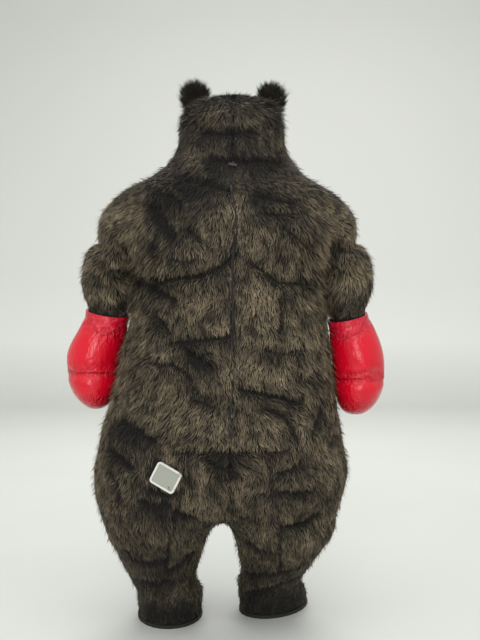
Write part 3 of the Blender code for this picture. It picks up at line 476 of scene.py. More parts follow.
def sink_of(places, normals):
    """How deep the folds and the seams press into the cloth at each place, in metres, how far the
    pile is parted there, and how ruffled it is around them, both from 0 to 1. The parting and the
    ruffle also paint shade into the pile's colour: along the lines, and around and below the folds."""
    flat = flat_of(places)
    sink, parting_and_shade, ruffle_and_fold_shadow = np.zeros((3, len(places)))
    for side, rows in FOLDS.items():
        turned = facing(side, normals)
        for depth, width, swell, *line in rows:
            near, below, above = nearness(flat, line, width)
            sink += turned * (1.35 * depth * near - swell * (0.4 * below + 1.1 * above))
            parting_and_shade = np.maximum(parting_and_shade, turned * near * min(1, depth / 9))
            # The ruffle around each fold, most of it just below, is mainly painted shadow in the
            # pile's colour; it also lifts the pile a little.
            around, lower, _ = nearness(flat, line, 1.7 * width)
            ruffle_and_fold_shadow += turned * (0.45 * around + 0.55 * lower) * depth / 11
    for side, lines in SEAMS.items():
        turned = facing(side, normals)
        for line in lines:
            near, _, _ = nearness(flat, line, SEAM_WIDTH)
            sink += turned * SEAM_DEPTH * near
            parting_and_shade = np.maximum(parting_and_shade, turned * near * 0.8)
    return sink * MM, parting_and_shade, np.minimum(ruffle_and_fold_shadow, 1)


print("folds:", sum(map(len, FOLDS.values())), "seams:", sum(map(len, SEAMS.values())))

# %% [markdown]
# ## The backing cloth
#
# The pile is woven into a knitted backing about 2 mm thick, and the solids reach as far as the pile
# does. So each panel's backing is a thin shell that lies 7 mm inside its solid, with the folds
# pressed into it. It is cut from the one skin, so its edges meet the next panel's along the seam.

# %% Points and normals of a skin
PILE_DEPTH = 7 * MM  # from the lying pile's surface down to the backing


def arrays_of(piece):
    """The places and the normals of an object's points."""
    values = np.zeros((2, len(piece.data.vertices) * 3), np.float32)
    for key, row in zip(("co", "normal"), values):
        piece.data.vertices.foreach_get(key, row)
    return values.reshape(2, -1, 3).astype(float)


def move_points(piece, places):
    """Puts an object's points at new places."""
    piece.data.vertices.foreach_set("co", places.astype(np.float32).ravel())
    piece.data.update()


def press_folds(piece, inset):
    """Moves a skin in to the backing's surface and presses the folds into it."""
    places, normals = arrays_of(piece)
    sink, parting_and_shade, ruffle_and_fold_shadow = sink_of(places, normals)
    move_points(piece, places - normals * (inset + sink)[:, None])
    return parting_and_shade, ruffle_and_fold_shadow


backing_skin = rounded(pelt, "backing_skin", 2)
press_folds(backing_skin, PILE_DEPTH)
print("backing skin:", len(backing_skin.data.polygons), "faces")

# %% [markdown]
# ## Finishes of the fur
#
# The pile is acrylic: matte, dark brown at the root and paler and warmer at the tip. Each strand
# carries three numbers: how far along it a point lies, its own tone, and how light the fur is at
# that place. That last number holds the fur's tone in each part of the costume, with painted shade
# in the folds, seams and cuffs and along the zip, and painted light where the cloth faces sideways.
# The colour is mixed from them, so no two locks look quite the same.
# The backing under it is a close knit that hardly shows, so it only needs to be dark.

# %% Pile and backing
def make_pile_finish(name, root, dark, light):
    finish, add = new_finish(name, Roughness=0.6, IOR=1.3, Sheen_Weight=0.06, Sheen_Roughness=0.4)
    along, tone, shade = (
        add(ATTRIBUTE, attribute_name=key).outputs["Fac"] for key in ("along", "tone", "shade")
    )
    sharper = add(MATH, {0: tone, 1: 1.3}, operation="POWER")
    # The tips' lightness is the strand's tone times the skin's lightness number, which carries
    # painted light and painted shade into the colour.
    lit = add(MATH, {0: sharper, 1: shade}, operation="MULTIPLY")
    tip = add(MIX, {"Factor": lit, "A": dark, "B": light}, data_type="RGBA")
    rise = add(RANGE, {"Value": along, "From Min": 0.12, "From Max": 0.9})
    return join_surface(finish, add(MIX, {"Factor": rise, "A": root, "B": tip}, data_type="RGBA"))


# Dark roots and pale, warm tips read as deep, worn fur. The knit only fills the gaps with shadow.
pile_finish = make_pile_finish("acrylic pile", "0B0A09", "1B1A19", "BFAC8B")
backing_finish = grained_finish(
    "knitted fur backing", "0D0B09", "1B1713", VORONOI, 480.0, 0.0, 0.0006, 0.6,
    Roughness=0.95, IOR=1.49,
)
print("made", pile_finish.name, "and", backing_finish.name)

# %% Cut the backing into its panels
CLOTH_THICKNESS = 2 * MM


def panel_numbers(data):
    numbers = np.zeros(len(data.polygons), np.int32)
    data.attributes["panel"].data.foreach_get("value", numbers)
    return numbers


def part_of_skin(piece, name, panels):
    """A new object from the faces of a skin that belong to the named panels."""
    mesh = bmesh.new()
    mesh.from_mesh(piece.data)
    layer = mesh.faces.layers.int["panel"]
    wanted = {PANELS.index(panel) for panel in panels}
    unwanted = [face for face in mesh.faces if face[layer] not in wanted]
    bmesh.ops.delete(mesh, geom=unwanted, context="FACES")
    return mesh_object(mesh, name)


def set_finish(piece, finish):
    """Makes a finish the only one of a piece."""
    piece.data.materials.clear()
    piece.data.materials.append(finish)


backing = {}
for panel in PANELS:
    backing[panel] = part_of_skin(backing_skin, "cloth_" + panel, [panel])
    area = sum(polygon.area for polygon in backing[panel].data.polygons)
    thick = backing[panel].modifiers.new("cloth", "SOLIDIFY")
    thick.thickness, thick.offset = CLOTH_THICKNESS, -1
    bake_modifiers(backing[panel]).data.shade_smooth()
    set_finish(backing[panel], backing_finish)
    print(panel, "area", round(area, 3))

# %% [markdown]
# ## How the pile lies
#
# The pile of a worn suit is brushed down, but it turns outward on the shoulders, opens at the zip,
# stands up on the ears and swirls on the seat. A table of brush strokes says which way it lies at
# some places, and every other place follows the strokes near it. The fine skin carries the result
# as attributes: the way the pile lies, its length, how far it stands up, how light it is with
# painted light and painted shade in that, and how much of the cloth it covers.

# %% Brush strokes and shades
# x, height, then the way the pile lies as x and height, and the reach of the stroke
STROKES = {
    BACK: [
        (-440, 1490, -1, -0.25, 90), (440, 1490, 1, -0.25, 90), (-330, 1540, -1, -0.5, 70),
        (330, 1540, 1, -0.5, 70), (-500, 1330, -0.9, -0.6, 60), (500, 1330, 0.9, -0.6, 60),
        (-90, 1880, -0.5, -1, 60), (120, 1880, 0.5, -1, 60), (-140, 1720, -0.35, -1, 80),
        (170, 1720, 0.35, -1, 80), (-200, 1610, -0.8, -1, 80), (220, 1610, 0.8, -1, 80),
        (-180, 1480, -0.45, -1, 80), (200, 1480, 0.3, -1, 80), (-90, 1300, 0.35, -1, 70),
        (150, 1330, -0.35, -1, 60), (-200, 1150, -0.3, -1, 80), (250, 1150, 0.25, -1, 80),
        (-60, 1000, 0.5, -0.9, 50), (120, 980, -0.3, -1, 60), (-320, 900, -0.4, -1, 90),
        (330, 900, 0.45, -1, 90), (160, 800, 0.6, -0.8, 60), (-160, 780, -0.5, -0.9, 70),
        (-420, 560, -0.35, -1, 90), (360, 560, 0.4, -1, 90), (-40, 620, -0.9, -0.5, 40),
        (70, 620, 0.9, -0.4, 40), (-50, 540, 0.5, -1, 45), (80, 540, -0.6, -1, 45),
        (17, 585, 0.4, -0.6, 30), (-260, 380, 0.3, -1, 80), (-110, 330, 0.5, -1, 60),
        (90, 330, -0.4, -1, 60), (240, 330, 0.2, -1, 80),
    ],
    FRONT: [
        (-430, 1490, -1, -0.3, 90), (430, 1490, 1, -0.3, 90), (-200, 1300, 0.35, -1, 90),
        (200, 1300, -0.35, -1, 90), (-260, 1000, -0.4, -1, 90), (260, 1000, 0.4, -1, 90),
        (0, 760, 0.25, -1, 80), (-300, 500, -0.3, -1, 90), (260, 500, 0.3, -1, 90),
        (-60, 1850, -0.7, 0.4, 60), (90, 1850, 0.7, 0.4, 60), (-110, 1740, -1, -0.4, 60),
        (140, 1740, 1, -0.4, 60),
    ],
}
# x, height, reach, and how much lighter or darker the fur is there, partly its own tone and partly
# painted light and painted shade
SHADES = {
    BACK: [
        (-430, 1500, 100, 0.16), (440, 1490, 110, 0.2), (-20, 1765, 90, -0.02),
        (110, 1630, 90, -0.1), (-80, 1600, 60, -0.08), (-215, 1475, 60, -0.34),
        (-170, 1560, 80, -0.22), (-120, 1520, 80, -0.24), (-120, 1400, 90, -0.08),
        (-180, 1225, 80, 0.06), (150, 1230, 80, 0.07), (160, 760, 80, 0.05), (-110, 560, 60, 0.05),
        (170, 1440, 110, -0.05), (-30, 560, 70, 0.08), (-130, 1430, 40, -0.16),
        (-260, 1290, 45, -0.12), (120, 1505, 60, -0.2), (190, 1440, 45, -0.1),
        (262, 1400, 40, -0.16), (30, 1470, 28, 0.12), (-75, 1340, 45, 0.14), (60, 1290, 40, -0.2),
        (245, 1255, 45, -0.18), (130, 1215, 45, 0.12), (-270, 1225, 40, -0.2),
        (-110, 1215, 45, 0.06), (-120, 1025, 55, -0.16), (-240, 1120, 50, 0.1),
        (115, 1010, 40, -0.16), (250, 1060, 80, 0.24), (150, 1110, 60, 0.2), (130, 935, 60, 0.2),
        (150, 1210, 80, 0.16), (150, 830, 90, 0.12), (90, 1250, 45, 0.14), (120, 850, 50, -0.2),
        (210, 810, 35, -0.16), (-110, 830, 40, -0.14), (-260, 930, 60, 0.1), (30, 745, 60, 0.1),
        (250, 930, 50, 0.08), (-355, 720, 60, -0.4), (-330, 640, 90, -0.1), (-280, 770, 35, -0.16),
        (-390, 620, 40, -0.12), (-20, 635, 42, -0.26), (160, 610, 45, -0.2), (255, 560, 40, -0.16),
        (60, 540, 40, 0.06), (-220, 470, 45, -0.24), (-250, 420, 110, -0.2), (-130, 40, 34, -0.12),
        (-265, 60, 30, -0.12), (-150, 215, 34, -0.14), (-225, 330, 40, -0.14),
        (-395, 735, 40, -0.2), (-290, 690, 36, -0.18), (-300, 640, 30, 0.14), (-345, 560, 34, 0.12),
        (-190, 130, 30, 0.14), (-290, 150, 30, 0.1), (120, 150, 34, 0.1), (205, 95, 26, -0.1),
        (-300, 600, 80, -0.14), (-130, 560, 40, 0.06), (90, 400, 50, 0.04), (-300, 290, 60, -0.14),
        (-170, 270, 50, -0.1), (80, 330, 35, -0.14), (230, 420, 60, 0.08), (110, 200, 50, -0.16),
    ],
    FRONT: [
        (-220, 1440, 80, -0.16), (180, 1340, 70, -0.14), (-90, 1180, 80, 0.1), (210, 1010, 80, 0.1),
        (-220, 900, 70, -0.14), (120, 800, 60, -0.14), (-60, 620, 60, -0.18), (300, 640, 70, -0.14),
        (-280, 420, 60, -0.14), (190, 330, 60, -0.12),
    ],
}
DOWNWARD = 0.35  # how strongly a place without a stroke near it keeps the way down


def spot(flat, x, z, reach):
    """How near each place is to a spot, from 0 to 1."""
    return np.exp(-((flat[:, 0] - x) ** 2 + (flat[:, 1] - z) ** 2) / reach**2)


def hump(value, middle, width):
    """A soft hump: 1 in its middle, and near 0 two widths away."""
    return np.exp(-(((value - middle) / width) ** 2))


def smooth_step(value, low, high):
    """Rises softly from 0 at one value to 1 at another."""
    share = np.clip((value - low) / (high - low), 0, 1)
    return share * share * (3 - 2 * share)


def unit(ways):
    return ways / (np.linalg.norm(ways, axis=1)[:, None] + 1e-6)


def brushed_way(flat, normals):
    """The way the pile lies at each place, as x and height, between the strokes near it."""
    total = np.full(len(flat), DOWNWARD)
    way = np.outer(total, (0.0, -1.0))
    for side, rows in STROKES.items():
        turned = np.clip(0.25 + side * normals[:, 1], 0, 1)
        for x, z, dx, dz, reach in rows:
            near = spot(flat, x, z, reach) * turned
            way += np.outer(near, (dx, dz))
            total += near
    return way / total[:, None]


def put_attributes(piece, **columns):
    """Stores numbers or ways on an object's points."""
    for name, values in columns.items():
        kind, key = ("FLOAT_VECTOR", "vector") if np.ndim(values) == 2 else ("FLOAT", "value")
        values = np.broadcast_to(values, (len(piece.data.vertices), *np.shape(values)[1:]))
        piece.data.attributes.new(name, kind, "POINT")
        piece.data.attributes[name].data.foreach_set(key, values.astype(np.float32).ravel())


def points_on(piece, panels):
    """1 at each point of a skin that touches one of the panels, and 0 at the others."""
    wanted = np.isin(panel_numbers(piece.data), [PANELS.index(panel) for panel in panels])
    corners = np.zeros(len(piece.data.loops), np.int32)
    piece.data.loops.foreach_get("vertex_index", corners)
    sizes = np.zeros(len(piece.data.polygons), np.int32)
    piece.data.polygons.foreach_get("loop_total", sizes)
    found = np.zeros(len(piece.data.vertices))
    found[corners[np.repeat(wanted, sizes)]] = 1
    return found


print("strokes:", sum(map(len, STROKES.values())), "shades:", sum(map(len, SHADES.values())))

# %% Comb the fine skin
# Heights and widths are in millimetres, as in the tables.
MIDDLE = 5  # x of the line that the arms and the body mirror in
ZIP_X, ZIP_FOOT, ZIP_TOP = 17, 660, 1655
PULL = (20, 1652)  # x and height of the zip's pull
FORK = (17, 400)  # where the legs part
PIT_X, PIT_Z = 338, 1362  # the armpits
PATCH_PLACE = np.array((-219.0, 609.0))  # its middle, as x and height
PATCH_WAY, PATCH_RISE = np.array(((0.905, -0.425), (0.425, 0.905)))
PATCH_TOP = (-226, 652, -190, 634, -142, 610)
NECK, SHIN, ANKLE = (1600, 1760), (150, 330), (60, 150)


def comb(piece, parting_and_shade, ruffle_and_fold_shadow):
    """Gives a skin's points the attributes that its pile grows by."""
    places, normals = arrays_of(piece)
    flat = flat_of(places)
    (x, z), y = flat.T, places[:, 1] / MM
    aside = np.abs(x - MIDDLE)
    behind = normals[:, 1] < -0.3
    up = smooth_step(normals[:, 2], 0.3, 0.8)

    # It lies as it was brushed, falls away from the middle where the cloth faces up, and is
    # combed straight down in a band beside the zip.
    by_zip = behind * (z > ZIP_FOOT) * (z < ZIP_TOP)
    band = np.exp(-(((x - 30) / 25) ** 4)) * by_zip * smooth_step(z, 1060, 1120)
    way = brushed_way(flat, normals)
    lie = np.column_stack((way[:, 0] * (1 - 0.9 * band), np.zeros(len(x)), way[:, 1]))
    lie += 0.35 * normals * (1 - np.abs(normals[:, 2:3]))
    lie += unit(np.column_stack((x, y, np.zeros(len(x))))) * up[:, None]
    lie = unit(lie - normals * (lie * normals).sum(1)[:, None])

    # It is long on the body, and shorter on the head, the snout, the shins, the feet and the cuffs.
    arm = points_on(piece, ("sleeve_left", "sleeve_right"))
    caps = points_on(piece, ("shoulder_left", "shoulder_right"))
    arm = np.maximum(arm, caps * smooth_step(aside, 330, 420))
    cuff = arm * (1 - smooth_step(z, 1160, 1215))
    snout = np.exp(-((x - 10) ** 2 + (z - 1742) ** 2) / 110**2) * (y > 60)
    length = np.full(len(x), 26.0)
    for goal, share in (
        (23, smooth_step(z, *NECK)),
        (8, np.clip(1.3 * snout, 0, 1)),
        (19, 1 - smooth_step(z, *SHIN)),
        (15, 1 - smooth_step(z, *ANKLE)),
        (15, cuff),
    ):
        length += (goal - length) * share
    length *= 1 - 0.55 * parting_and_shade

    # The pile brushes together between the arms and the body, and stands out over the gloves.
    tilt = 1.3 * normals[:, 0] * np.sign(x - MIDDLE)
    inward, outward = np.clip(0.3 - tilt, 0, 1), np.clip(0.1 + tilt, 0, 1)
    level = smooth_step(z, 1120, 1170) * (1 - smooth_step(z, 1440, 1500))
    body = (1 - arm) * (1 - caps) * (aside > 250)
    between = level * (arm * inward + body * outward)
    over_gloves = body * outward * smooth_step(z, 800, 900) * (1 - smooth_step(z, 1120, 1170))
    length += 16 * between + 8 * over_gloves

    # It is short where the legs fork, long beside the ears and in the armpits, clipped around the
    # zip's pull, and falls over the patch's upper edge.
    fork = hump(x, FORK[0], 75) * hump(z, FORK[1], 45)
    length += (7 - length) * fork
    length *= 1 - 0.3 * band
    corner = smooth_step(z, 1785, 1835) * hump(np.abs(x - 12), 142, 48)
    length += (38 - length) * corner
    pits = hump(aside, PIT_X, 32) * hump(z, PIT_Z, 60)
    length += (48 - length) * pits
    length -= 9 * (1 - smooth_step(z, 4, 30))
    length += (5 - length) * hump(x, PULL[0], 26) * hump(z, PULL[1], 20) * behind
    edge = nearness(flat, PATCH_TOP, 17)[0] * behind
    length += (35 - length) * edge

    stand = 0.17 + 0.1 * arm + 0.1 * smooth_step(z, 1850, 1930) + 0.1 * up
    stand += 0.5 * between + 0.1 * over_gloves + 0.7 * corner + 0.5 * pits
    stand += 0.06 * ruffle_and_fold_shadow + 0.9 * edge + 0.12 * (1 - smooth_step(z, 60, 330)) - 0.1 * fork

    # The head is darker, and the legs get darker towards the feet. Painted shade darkens the folds
    # and seams, the fur around and below the folds, the cuffs where the sleeves go into the gloves
    # and the parting over the zip, and painted light brightens the fur that faces sideways.
    shade = 0.665 + 0.06 * arm - 0.27 * smooth_step(z, 1500, 1600)
    for depth, low, high in ((0.1, 450, 700), (0.2, 160, 330), (0.26, 60, 150)):
        shade -= depth * (1 - smooth_step(z, low, high))
    # Painted light: the fur is lighter where the cloth faces sideways, as a rim of light at the
    # outline.
    shade += 0.16 * smooth_step(np.abs(normals[:, 0]), 0.7, 0.95)
    # The patches add the fur's own tone together with painted light and painted shade.
    for side, rows in SHADES.items():
        turned = np.clip(0.25 + side * normals[:, 1], 0, 1)
        for sx, sz, reach, given in rows:
            shade += given * spot(flat, sx, sz, reach) * turned
    # Painted shade: the cuffs, the folds and seams, and the fur around and below the folds are
    # darkened. The head's corners beside the ears are darker too.
    shade -= 0.4 * cuff + 0.6 * parting_and_shade + 0.38 * ruffle_and_fold_shadow + 0.16 * corner
    # Painted shade darkens a thin line along the zip, most where the zip is open; the combed band
    # beside it is a little lighter.
    opened = 0.25 + 0.75 * smooth_step(z, 1040, 1090) * (1 - smooth_step(z, 1340, 1400))
    shade += 0.1 * band - 0.35 * opened * by_zip * hump(x, ZIP_X, 7)

    # No pile grows inside the gloves, along the open zip or under the patch.
    cover = np.where(arm * (z < 1128) > 0.5, 0.0, 1.0)
    cover *= 1 - by_zip * (opened > 0.6) * hump(x, ZIP_X, 4.5)
    under_patch = np.abs((flat - PATCH_PLACE) @ PATCH_WAY) < 44
    under_patch &= np.abs((flat - PATCH_PLACE) @ PATCH_RISE + 5) < 38
    put_attributes(
        piece, lie=lie, hair_length=length * MM, stand=stand, shade=np.clip(shade, 0.03, 1.0),
        cover=cover * (1 - behind * under_patch), restless=1 - 0.85 * np.maximum(band, fork),
    )


root_skin = rounded(pelt, "root_skin", 3)
comb(root_skin, *press_folds(root_skin, PILE_DEPTH))
print("roots' skin:", len(root_skin.data.polygons), "faces")

# %% [markdown]
# ## The pile, strand by strand
#
# Real pile has hundreds of hairs on each square centimetre. From a few steps away it reads as
# locks some 30 mm wide, each with fine streaks in it. So each strand here is a narrow blade, as
# wide as a streak and as long as the pile, and Geometry Nodes plant about forty thousand of them
# on each square metre of the roots' skin. Every strand follows the lie of the pile, leans towards
# the middle of its own lock, and differs a little in length, width, roll and curl.

# %% The strands to plant
STRAND_SHAPES = ((-0.14, 0.10), (0.02, 0.14), (0.15, 0.08))  # curl to the side, and bow
BEND_SHARE = 0.45  # how far along a strand its widest part and its bend lie


def strand_shape(number, curl, bow):
    """One strand, 1 wide and 1 long: pointed at both ends and bent in the middle."""
    rows = [
        (0, 0, 0),
        (curl * 0.3 + 0.5, bow, BEND_SHARE),
        (curl * 0.3 - 0.5, bow, BEND_SHARE),
        (curl, bow * 0.4, 1),
    ]
    data = bpy.data.meshes.new(f"strand_{number}")
    data.from_pydata(rows, [], [(0, 2, 1), (2, 3, 1)])
    data.shade_smooth()
    strand = bpy.data.objects.new(f"strand_{number}", data)
    put_attributes(strand, along=np.array(rows)[:, 2])
    return strand


strands = bpy.data.collections.new("strands")
for number, (curl, bow) in enumerate(STRAND_SHAPES):
    strands.objects.link(strand_shape(number, curl, bow))

# %% A tree that plants the pile
PILE_INPUTS = {
    "Geometry": ("Geometry", None),
    "Strands": ("Collection", None),
    "Spacing": ("Float", 0.0029),
    "Strands per Square Metre": ("Float", 100000.0),
    "Strand Width": ("Float", 0.0025),
    "Lock Size": ("Float", 0.026),
    "Lean to Lock": ("Float", 0.3),
    "Swirl": ("Float", 1.7),
    "Ruffle": ("Float", 2.0),
    "Seed": ("Int", 1),
    "Finish": ("Material", None),
}
CHANCES = {  # lowest, highest and seed of each strand's own numbers
    "turn": (-0.17, 0.17, 11),
    "stand": (-0.1, 0.12, 12),
    "roll": (-0.7, 0.7, 13),
    "length": (0.7, 1.25, 14),
    "width": (0.6, 1.25, 15),
    "tone": (0.0, 0.36, 16),
    "guard": (0.0, 1.0, 18),
}


def make_pile_tree():
    tree = bpy.data.node_groups.new("plant the pile", "GeometryNodeTree")
    for name, (kind, value) in PILE_INPUTS.items():
        socket = tree.interface.new_socket(name, in_out="INPUT", socket_type="NodeSocket" + kind)
        if value is not None:
            socket.default_value = value
    tree.interface.new_socket("Geometry", in_out="OUTPUT", socket_type="NodeSocketGeometry")
    add = partial(add_node, tree)
    given = add("NodeGroupInput").outputs
    number, vector = {"data_type": "FLOAT"}, {"data_type": "FLOAT_VECTOR"}
    skin = {
        name: add(STORED, {"Name": name}, **number)
        for name in ("cover", "restless", "hair_length", "stand", "along")
    }
    chance = {
        name: add(RANDOM, {"Min": low, "Max": high, "Seed": seed}, **number)
        for name, (low, high, seed) in CHANCES.items()
    }

    # Points on the skin, which keep the skin's own direction.
    scatter = add(
        "GeometryNodeDistributePointsOnFaces",
        {
            "Mesh": given["Geometry"], "Distance Min": given["Spacing"], "Seed": given["Seed"],
            "Density Max": given["Strands per Square Metre"], "Density Factor": skin["cover"],
        },
        distribute_method="POISSON",
    )
    points = add(
        "GeometryNodeStoreNamedAttribute",
        {"Geometry": scatter, "Name": "skin_normal", "Value": scatter.outputs["Normal"]},
        domain="POINT", **vector,
    )
    up = add(STORED, {"Name": "skin_normal"}, **vector)
    place = add("GeometryNodeInputPosition")

    # The lie of the pile, turned by a slow swirl, by ruffles and a little at random.
    turn = chance["turn"]
    for scale, detail, strength in ((8.0, 2.0, "Swirl"), (27.0, 1.0, "Ruffle")):
        wander = add(NOISE, {"Vector": place, "Scale": scale, "Detail": detail})
        wander = add(MATH, {0: wander, 1: 0.5}, operation="SUBTRACT")
        turn = add(MATH, {0: wander, 1: given[strength], 2: turn}, operation="MULTIPLY_ADD")
    turn = add(MATH, {0: turn, 1: skin["restless"]}, operation="MULTIPLY")
    combed = add(STORED, {"Name": "lie"}, **vector)
    lie = add(
        "ShaderNodeVectorRotate", {"Vector": combed, "Axis": up, "Angle": turn},
        rotation_type="AXIS_ANGLE",
    )

    # The lean towards the middle of a lock, along the skin.
    cells = add(MATH, {0: 1.0, 1: given["Lock Size"]}, operation="DIVIDE")
    lock = add(VORONOI, {"Vector": place, "Scale": cells})
    to_middle = add(VECTOR_MATH, {0: lock.outputs["Position"], 1: place}, operation="SUBTRACT")
    rise = add(VECTOR_MATH, {0: to_middle, 1: up}, operation="DOT_PRODUCT")
    off = add(VECTOR_MATH, {0: up, "Scale": rise}, operation="SCALE")
    to_middle = add(VECTOR_MATH, {0: to_middle, 1: off}, operation="SUBTRACT")
    lean = add(MATH, {0: given["Lean to Lock"], 1: skin["hair_length"]}, operation="DIVIDE")
    to_middle = add(VECTOR_MATH, {0: to_middle, "Scale": lean}, operation="SCALE")

    # How far it stands up. A few guard hairs stand up much more than the rest.
    guard = add(RANGE, {"Value": chance["guard"], "From Min": 0.86, "To Max": 0.65})
    tint = add("FunctionNodeSeparateColor", {"Color": lock.outputs["Color"]})
    lock_rise = add(MATH, {0: tint.outputs[0], 1: 0.12}, operation="MULTIPLY")
    stand = skin["stand"]
    for more in (chance["stand"], guard, lock_rise):
        stand = add(MATH, {0: stand, 1: more}, operation="ADD")
    way = add(VECTOR_MATH, {0: up, "Scale": stand}, operation="SCALE")
    for more in (lie, to_middle):
        way = add(VECTOR_MATH, {0: way, 1: more}, operation="ADD")
    aim = add(
        "FunctionNodeAxesToRotation", {"Primary Axis": way, "Secondary Axis": up},
        primary_axis="Z", secondary_axis="Y",
    )
    roll = add("FunctionNodeAxisAngleToRotation", {"Axis": (0, 0, 1), "Angle": chance["roll"]})
    aim = add(
        "FunctionNodeRotateRotation", {"Rotation": aim, "Rotate By": roll}, rotation_space="LOCAL"
    )

    # Its length and width, and its tone, which changes slowly over the cloth as well.
    longer = add(MATH, {0: guard, 1: 0.6, 2: chance["length"]}, operation="MULTIPLY_ADD")
    long = add(MATH, {0: skin["hair_length"], 1: longer}, operation="MULTIPLY")
    wide = add(MATH, {0: given["Strand Width"], 1: chance["width"]}, operation="MULTIPLY")
    size = add("ShaderNodeCombineXYZ", {"X": wide, "Y": long, "Z": long})
    areas = add(NOISE, {"Vector": place, "Scale": 14.0, "Detail": 4.0, "Roughness": 0.65})
    tufts = add(NOISE, {"Vector": place, "Scale": 38.0, "Detail": 2.0})
    tone, tuft_tone = (
        add(
            RANGE,
            {"Value": cloud, "From Min": low, "From Max": high, "To Min": dark, "To Max": light},
        )
        for cloud, low, high, dark, light in (
            (areas, 0.34, 0.66, 0.02, 0.68), (tufts, 0.36, 0.64, -0.2, 0.18)
        )
    )
    lock_tone = add(MATH, {0: tint.outputs[1], 1: 0.22}, operation="MULTIPLY")
    for more in (chance["tone"], lock_tone, tuft_tone):
        tone = add(MATH, {0: tone, 1: more}, operation="ADD")
    tone = add(MATH, {0: tone, 1: 0.0}, operation="MAXIMUM")
    toned = add(
        "GeometryNodeStoreNamedAttribute", {"Geometry": points, "Name": "tone", "Value": tone},
        domain="POINT", **number,
    )

    # One of the strand shapes on every point, and a little waviness towards the tips.
    shapes = add(
        "GeometryNodeCollectionInfo",
        {"Collection": given["Strands"], "Separate Children": True, "Reset Children": True},
    )
    choice = add(RANDOM, {"Min": 0, "Max": len(STRAND_SHAPES) - 1, "Seed": 17}, data_type="INT")
    plant = add(
        "GeometryNodeInstanceOnPoints",
        {
            "Points": toned, "Instance": shapes, "Pick Instance": True,
            "Instance Index": choice, "Rotation": aim, "Scale": size,
        },
    )
    real = add("GeometryNodeRealizeInstances", {"Geometry": plant})
    wave = add(NOISE, {"Vector": place, "Scale": 42.0, "Detail": 1.0}).outputs["Color"]
    wave = add(VECTOR_MATH, {0: wave, 1: (0.5, 0.5, 0.5)}, operation="SUBTRACT")
    tips = add(MATH, {0: skin["along"], 1: 0.009}, operation="MULTIPLY")
    wave = add(VECTOR_MATH, {0: wave, "Scale": tips}, operation="SCALE")
    waved = add("GeometryNodeSetPosition", {"Geometry": real, "Offset": wave})
    painted = add("GeometryNodeSetMaterial", {"Geometry": waved, "Material": given["Finish"]})
    add("NodeGroupOutput", {"Geometry": painted})
    return tree


pile_tree = make_pile_tree()
print("pile tree:", len(pile_tree.nodes), "nodes")

# %% Plant the pile on each part of the costume
PILE_PARTS = {
    "pile_head": ["hood_back_left", "hood_back_right", "face", "muzzle"],
    "pile_back_left": ["back_left"],
    "pile_back_right": ["back_right"],
    "pile_front": ["front_left", "front_right"],
    "pile_arm_left": ["shoulder_left", "sleeve_left"],
    "pile_arm_right": ["shoulder_right", "sleeve_right"],
    "pile_leg_left": ["seat_left", "leg_side_left", "leg_front_left", "foot_left"],
    "pile_leg_right": ["seat_right", "leg_side_right", "leg_front_right", "foot_right"],
}
ONLY_FOR_PLANTING = ("lie", "stand", "cover", "restless", "hair_length", "skin_normal")


def plant_pile(emitter, name, **sizes):
    """Turns a copy of the skin into the strands that grow on it."""
    grow = emitter.modifiers.new("pile", "NODES")
    grow.node_group = pile_tree
    values = {"Strands": strands, "Finish": pile_finish, **sizes}
    for socket in pile_tree.interface.items_tree:
        if socket.in_out == "INPUT" and socket.name in values:
            grow[socket.identifier] = values[socket.name]
    bake_modifiers(emitter)
    emitter.name = emitter.data.name = name
    stored = emitter.data.attributes
    for extra in [item.name for item in stored if item.name in ONLY_FOR_PLANTING]:
        stored.remove(stored[extra])
    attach(emitter, "root")
    print(name, sum(len(p.vertices) - 2 for p in emitter.data.polygons), "triangles")
    return emitter


pile = {
    name: plant_pile(part_of_skin(root_skin, name, panels), name, Seed=number)
    for number, (name, panels) in enumerate(PILE_PARTS.items())
}

# %% Attach each panel's backing and hide its solid
for panel, shell in backing.items():
    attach(shell, "root")
    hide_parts(panel)
print("sheets:", len(backing))

# %% [markdown]
# ## Boxing gloves
#
# The gloves are padded vinyl: foam in a glossy skin, which is gathered where it is sewn. So the
# skin is a little too large for its seams, and wrinkles run out from the curved cuff seam and
# from the seam across the knuckles. Cloth simulation makes such wrinkles by itself. The glove's
# skin is held along its seams, grows by a few percent, and is blown up a little from inside.
# Its movement is capped, so the glove keeps the room that its solid has.

# %% Weld each glove's skin and find its seams
GLOVE_PANELS = ("glove_cuff", "glove_hand", "glove_knuckles")
CUFF, HAND, KNUCKLES = range(3)
SOLID_GROOVE = 5 * MM  # how deep the seams lie in the solids
GUSSET_FOOT = 1040  # how low the gusset reaches, in millimetres above the soles
FAR_AWAY = 1e3
# The curved seam under the cuff on the glove's back, as x and height of each point.
CUFF_SEAM = {
    "left": (-512, 1140, -497, 1103, -481, 1072, -455, 1055, -425, 1057, -392, 1071, -366, 1098),
    "right": (507, 1128, 490, 1088, 468, 1060, 434, 1045, 400, 1047, 376, 1064),
}


def seam_between(mesh, one, other):
    """The points of a skin between two of its panels."""
    layer = mesh.faces.layers.int["panel"]
    return [vert for vert in mesh.verts if {f[layer] for f in vert.link_faces} == {one, other}]


def glove_skin(side):
    """A glove's skin, with the stepped edge of the solids' gusset filled flush."""
    parts = [outside_of(f"{panel}_{side}", walls, PADDED_WALL) for panel in GLOVE_PANELS]
    skin = weld_panels(parts)
    lifted = [(vert, vert.normal.copy()) for vert in seam_between(skin, CUFF, HAND)]
    for vert, normal in lifted:
        vert.co += normal * SOLID_GROOVE * (0.4 if vert.is_boundary else 1)
    return skin


def distance_to(points, places):
    tree = KDTree(len(points))
    for number, point in enumerate(points):
        tree.insert(point, number)
    tree.balance()
    return np.array([tree.find(place)[2] for place in places])


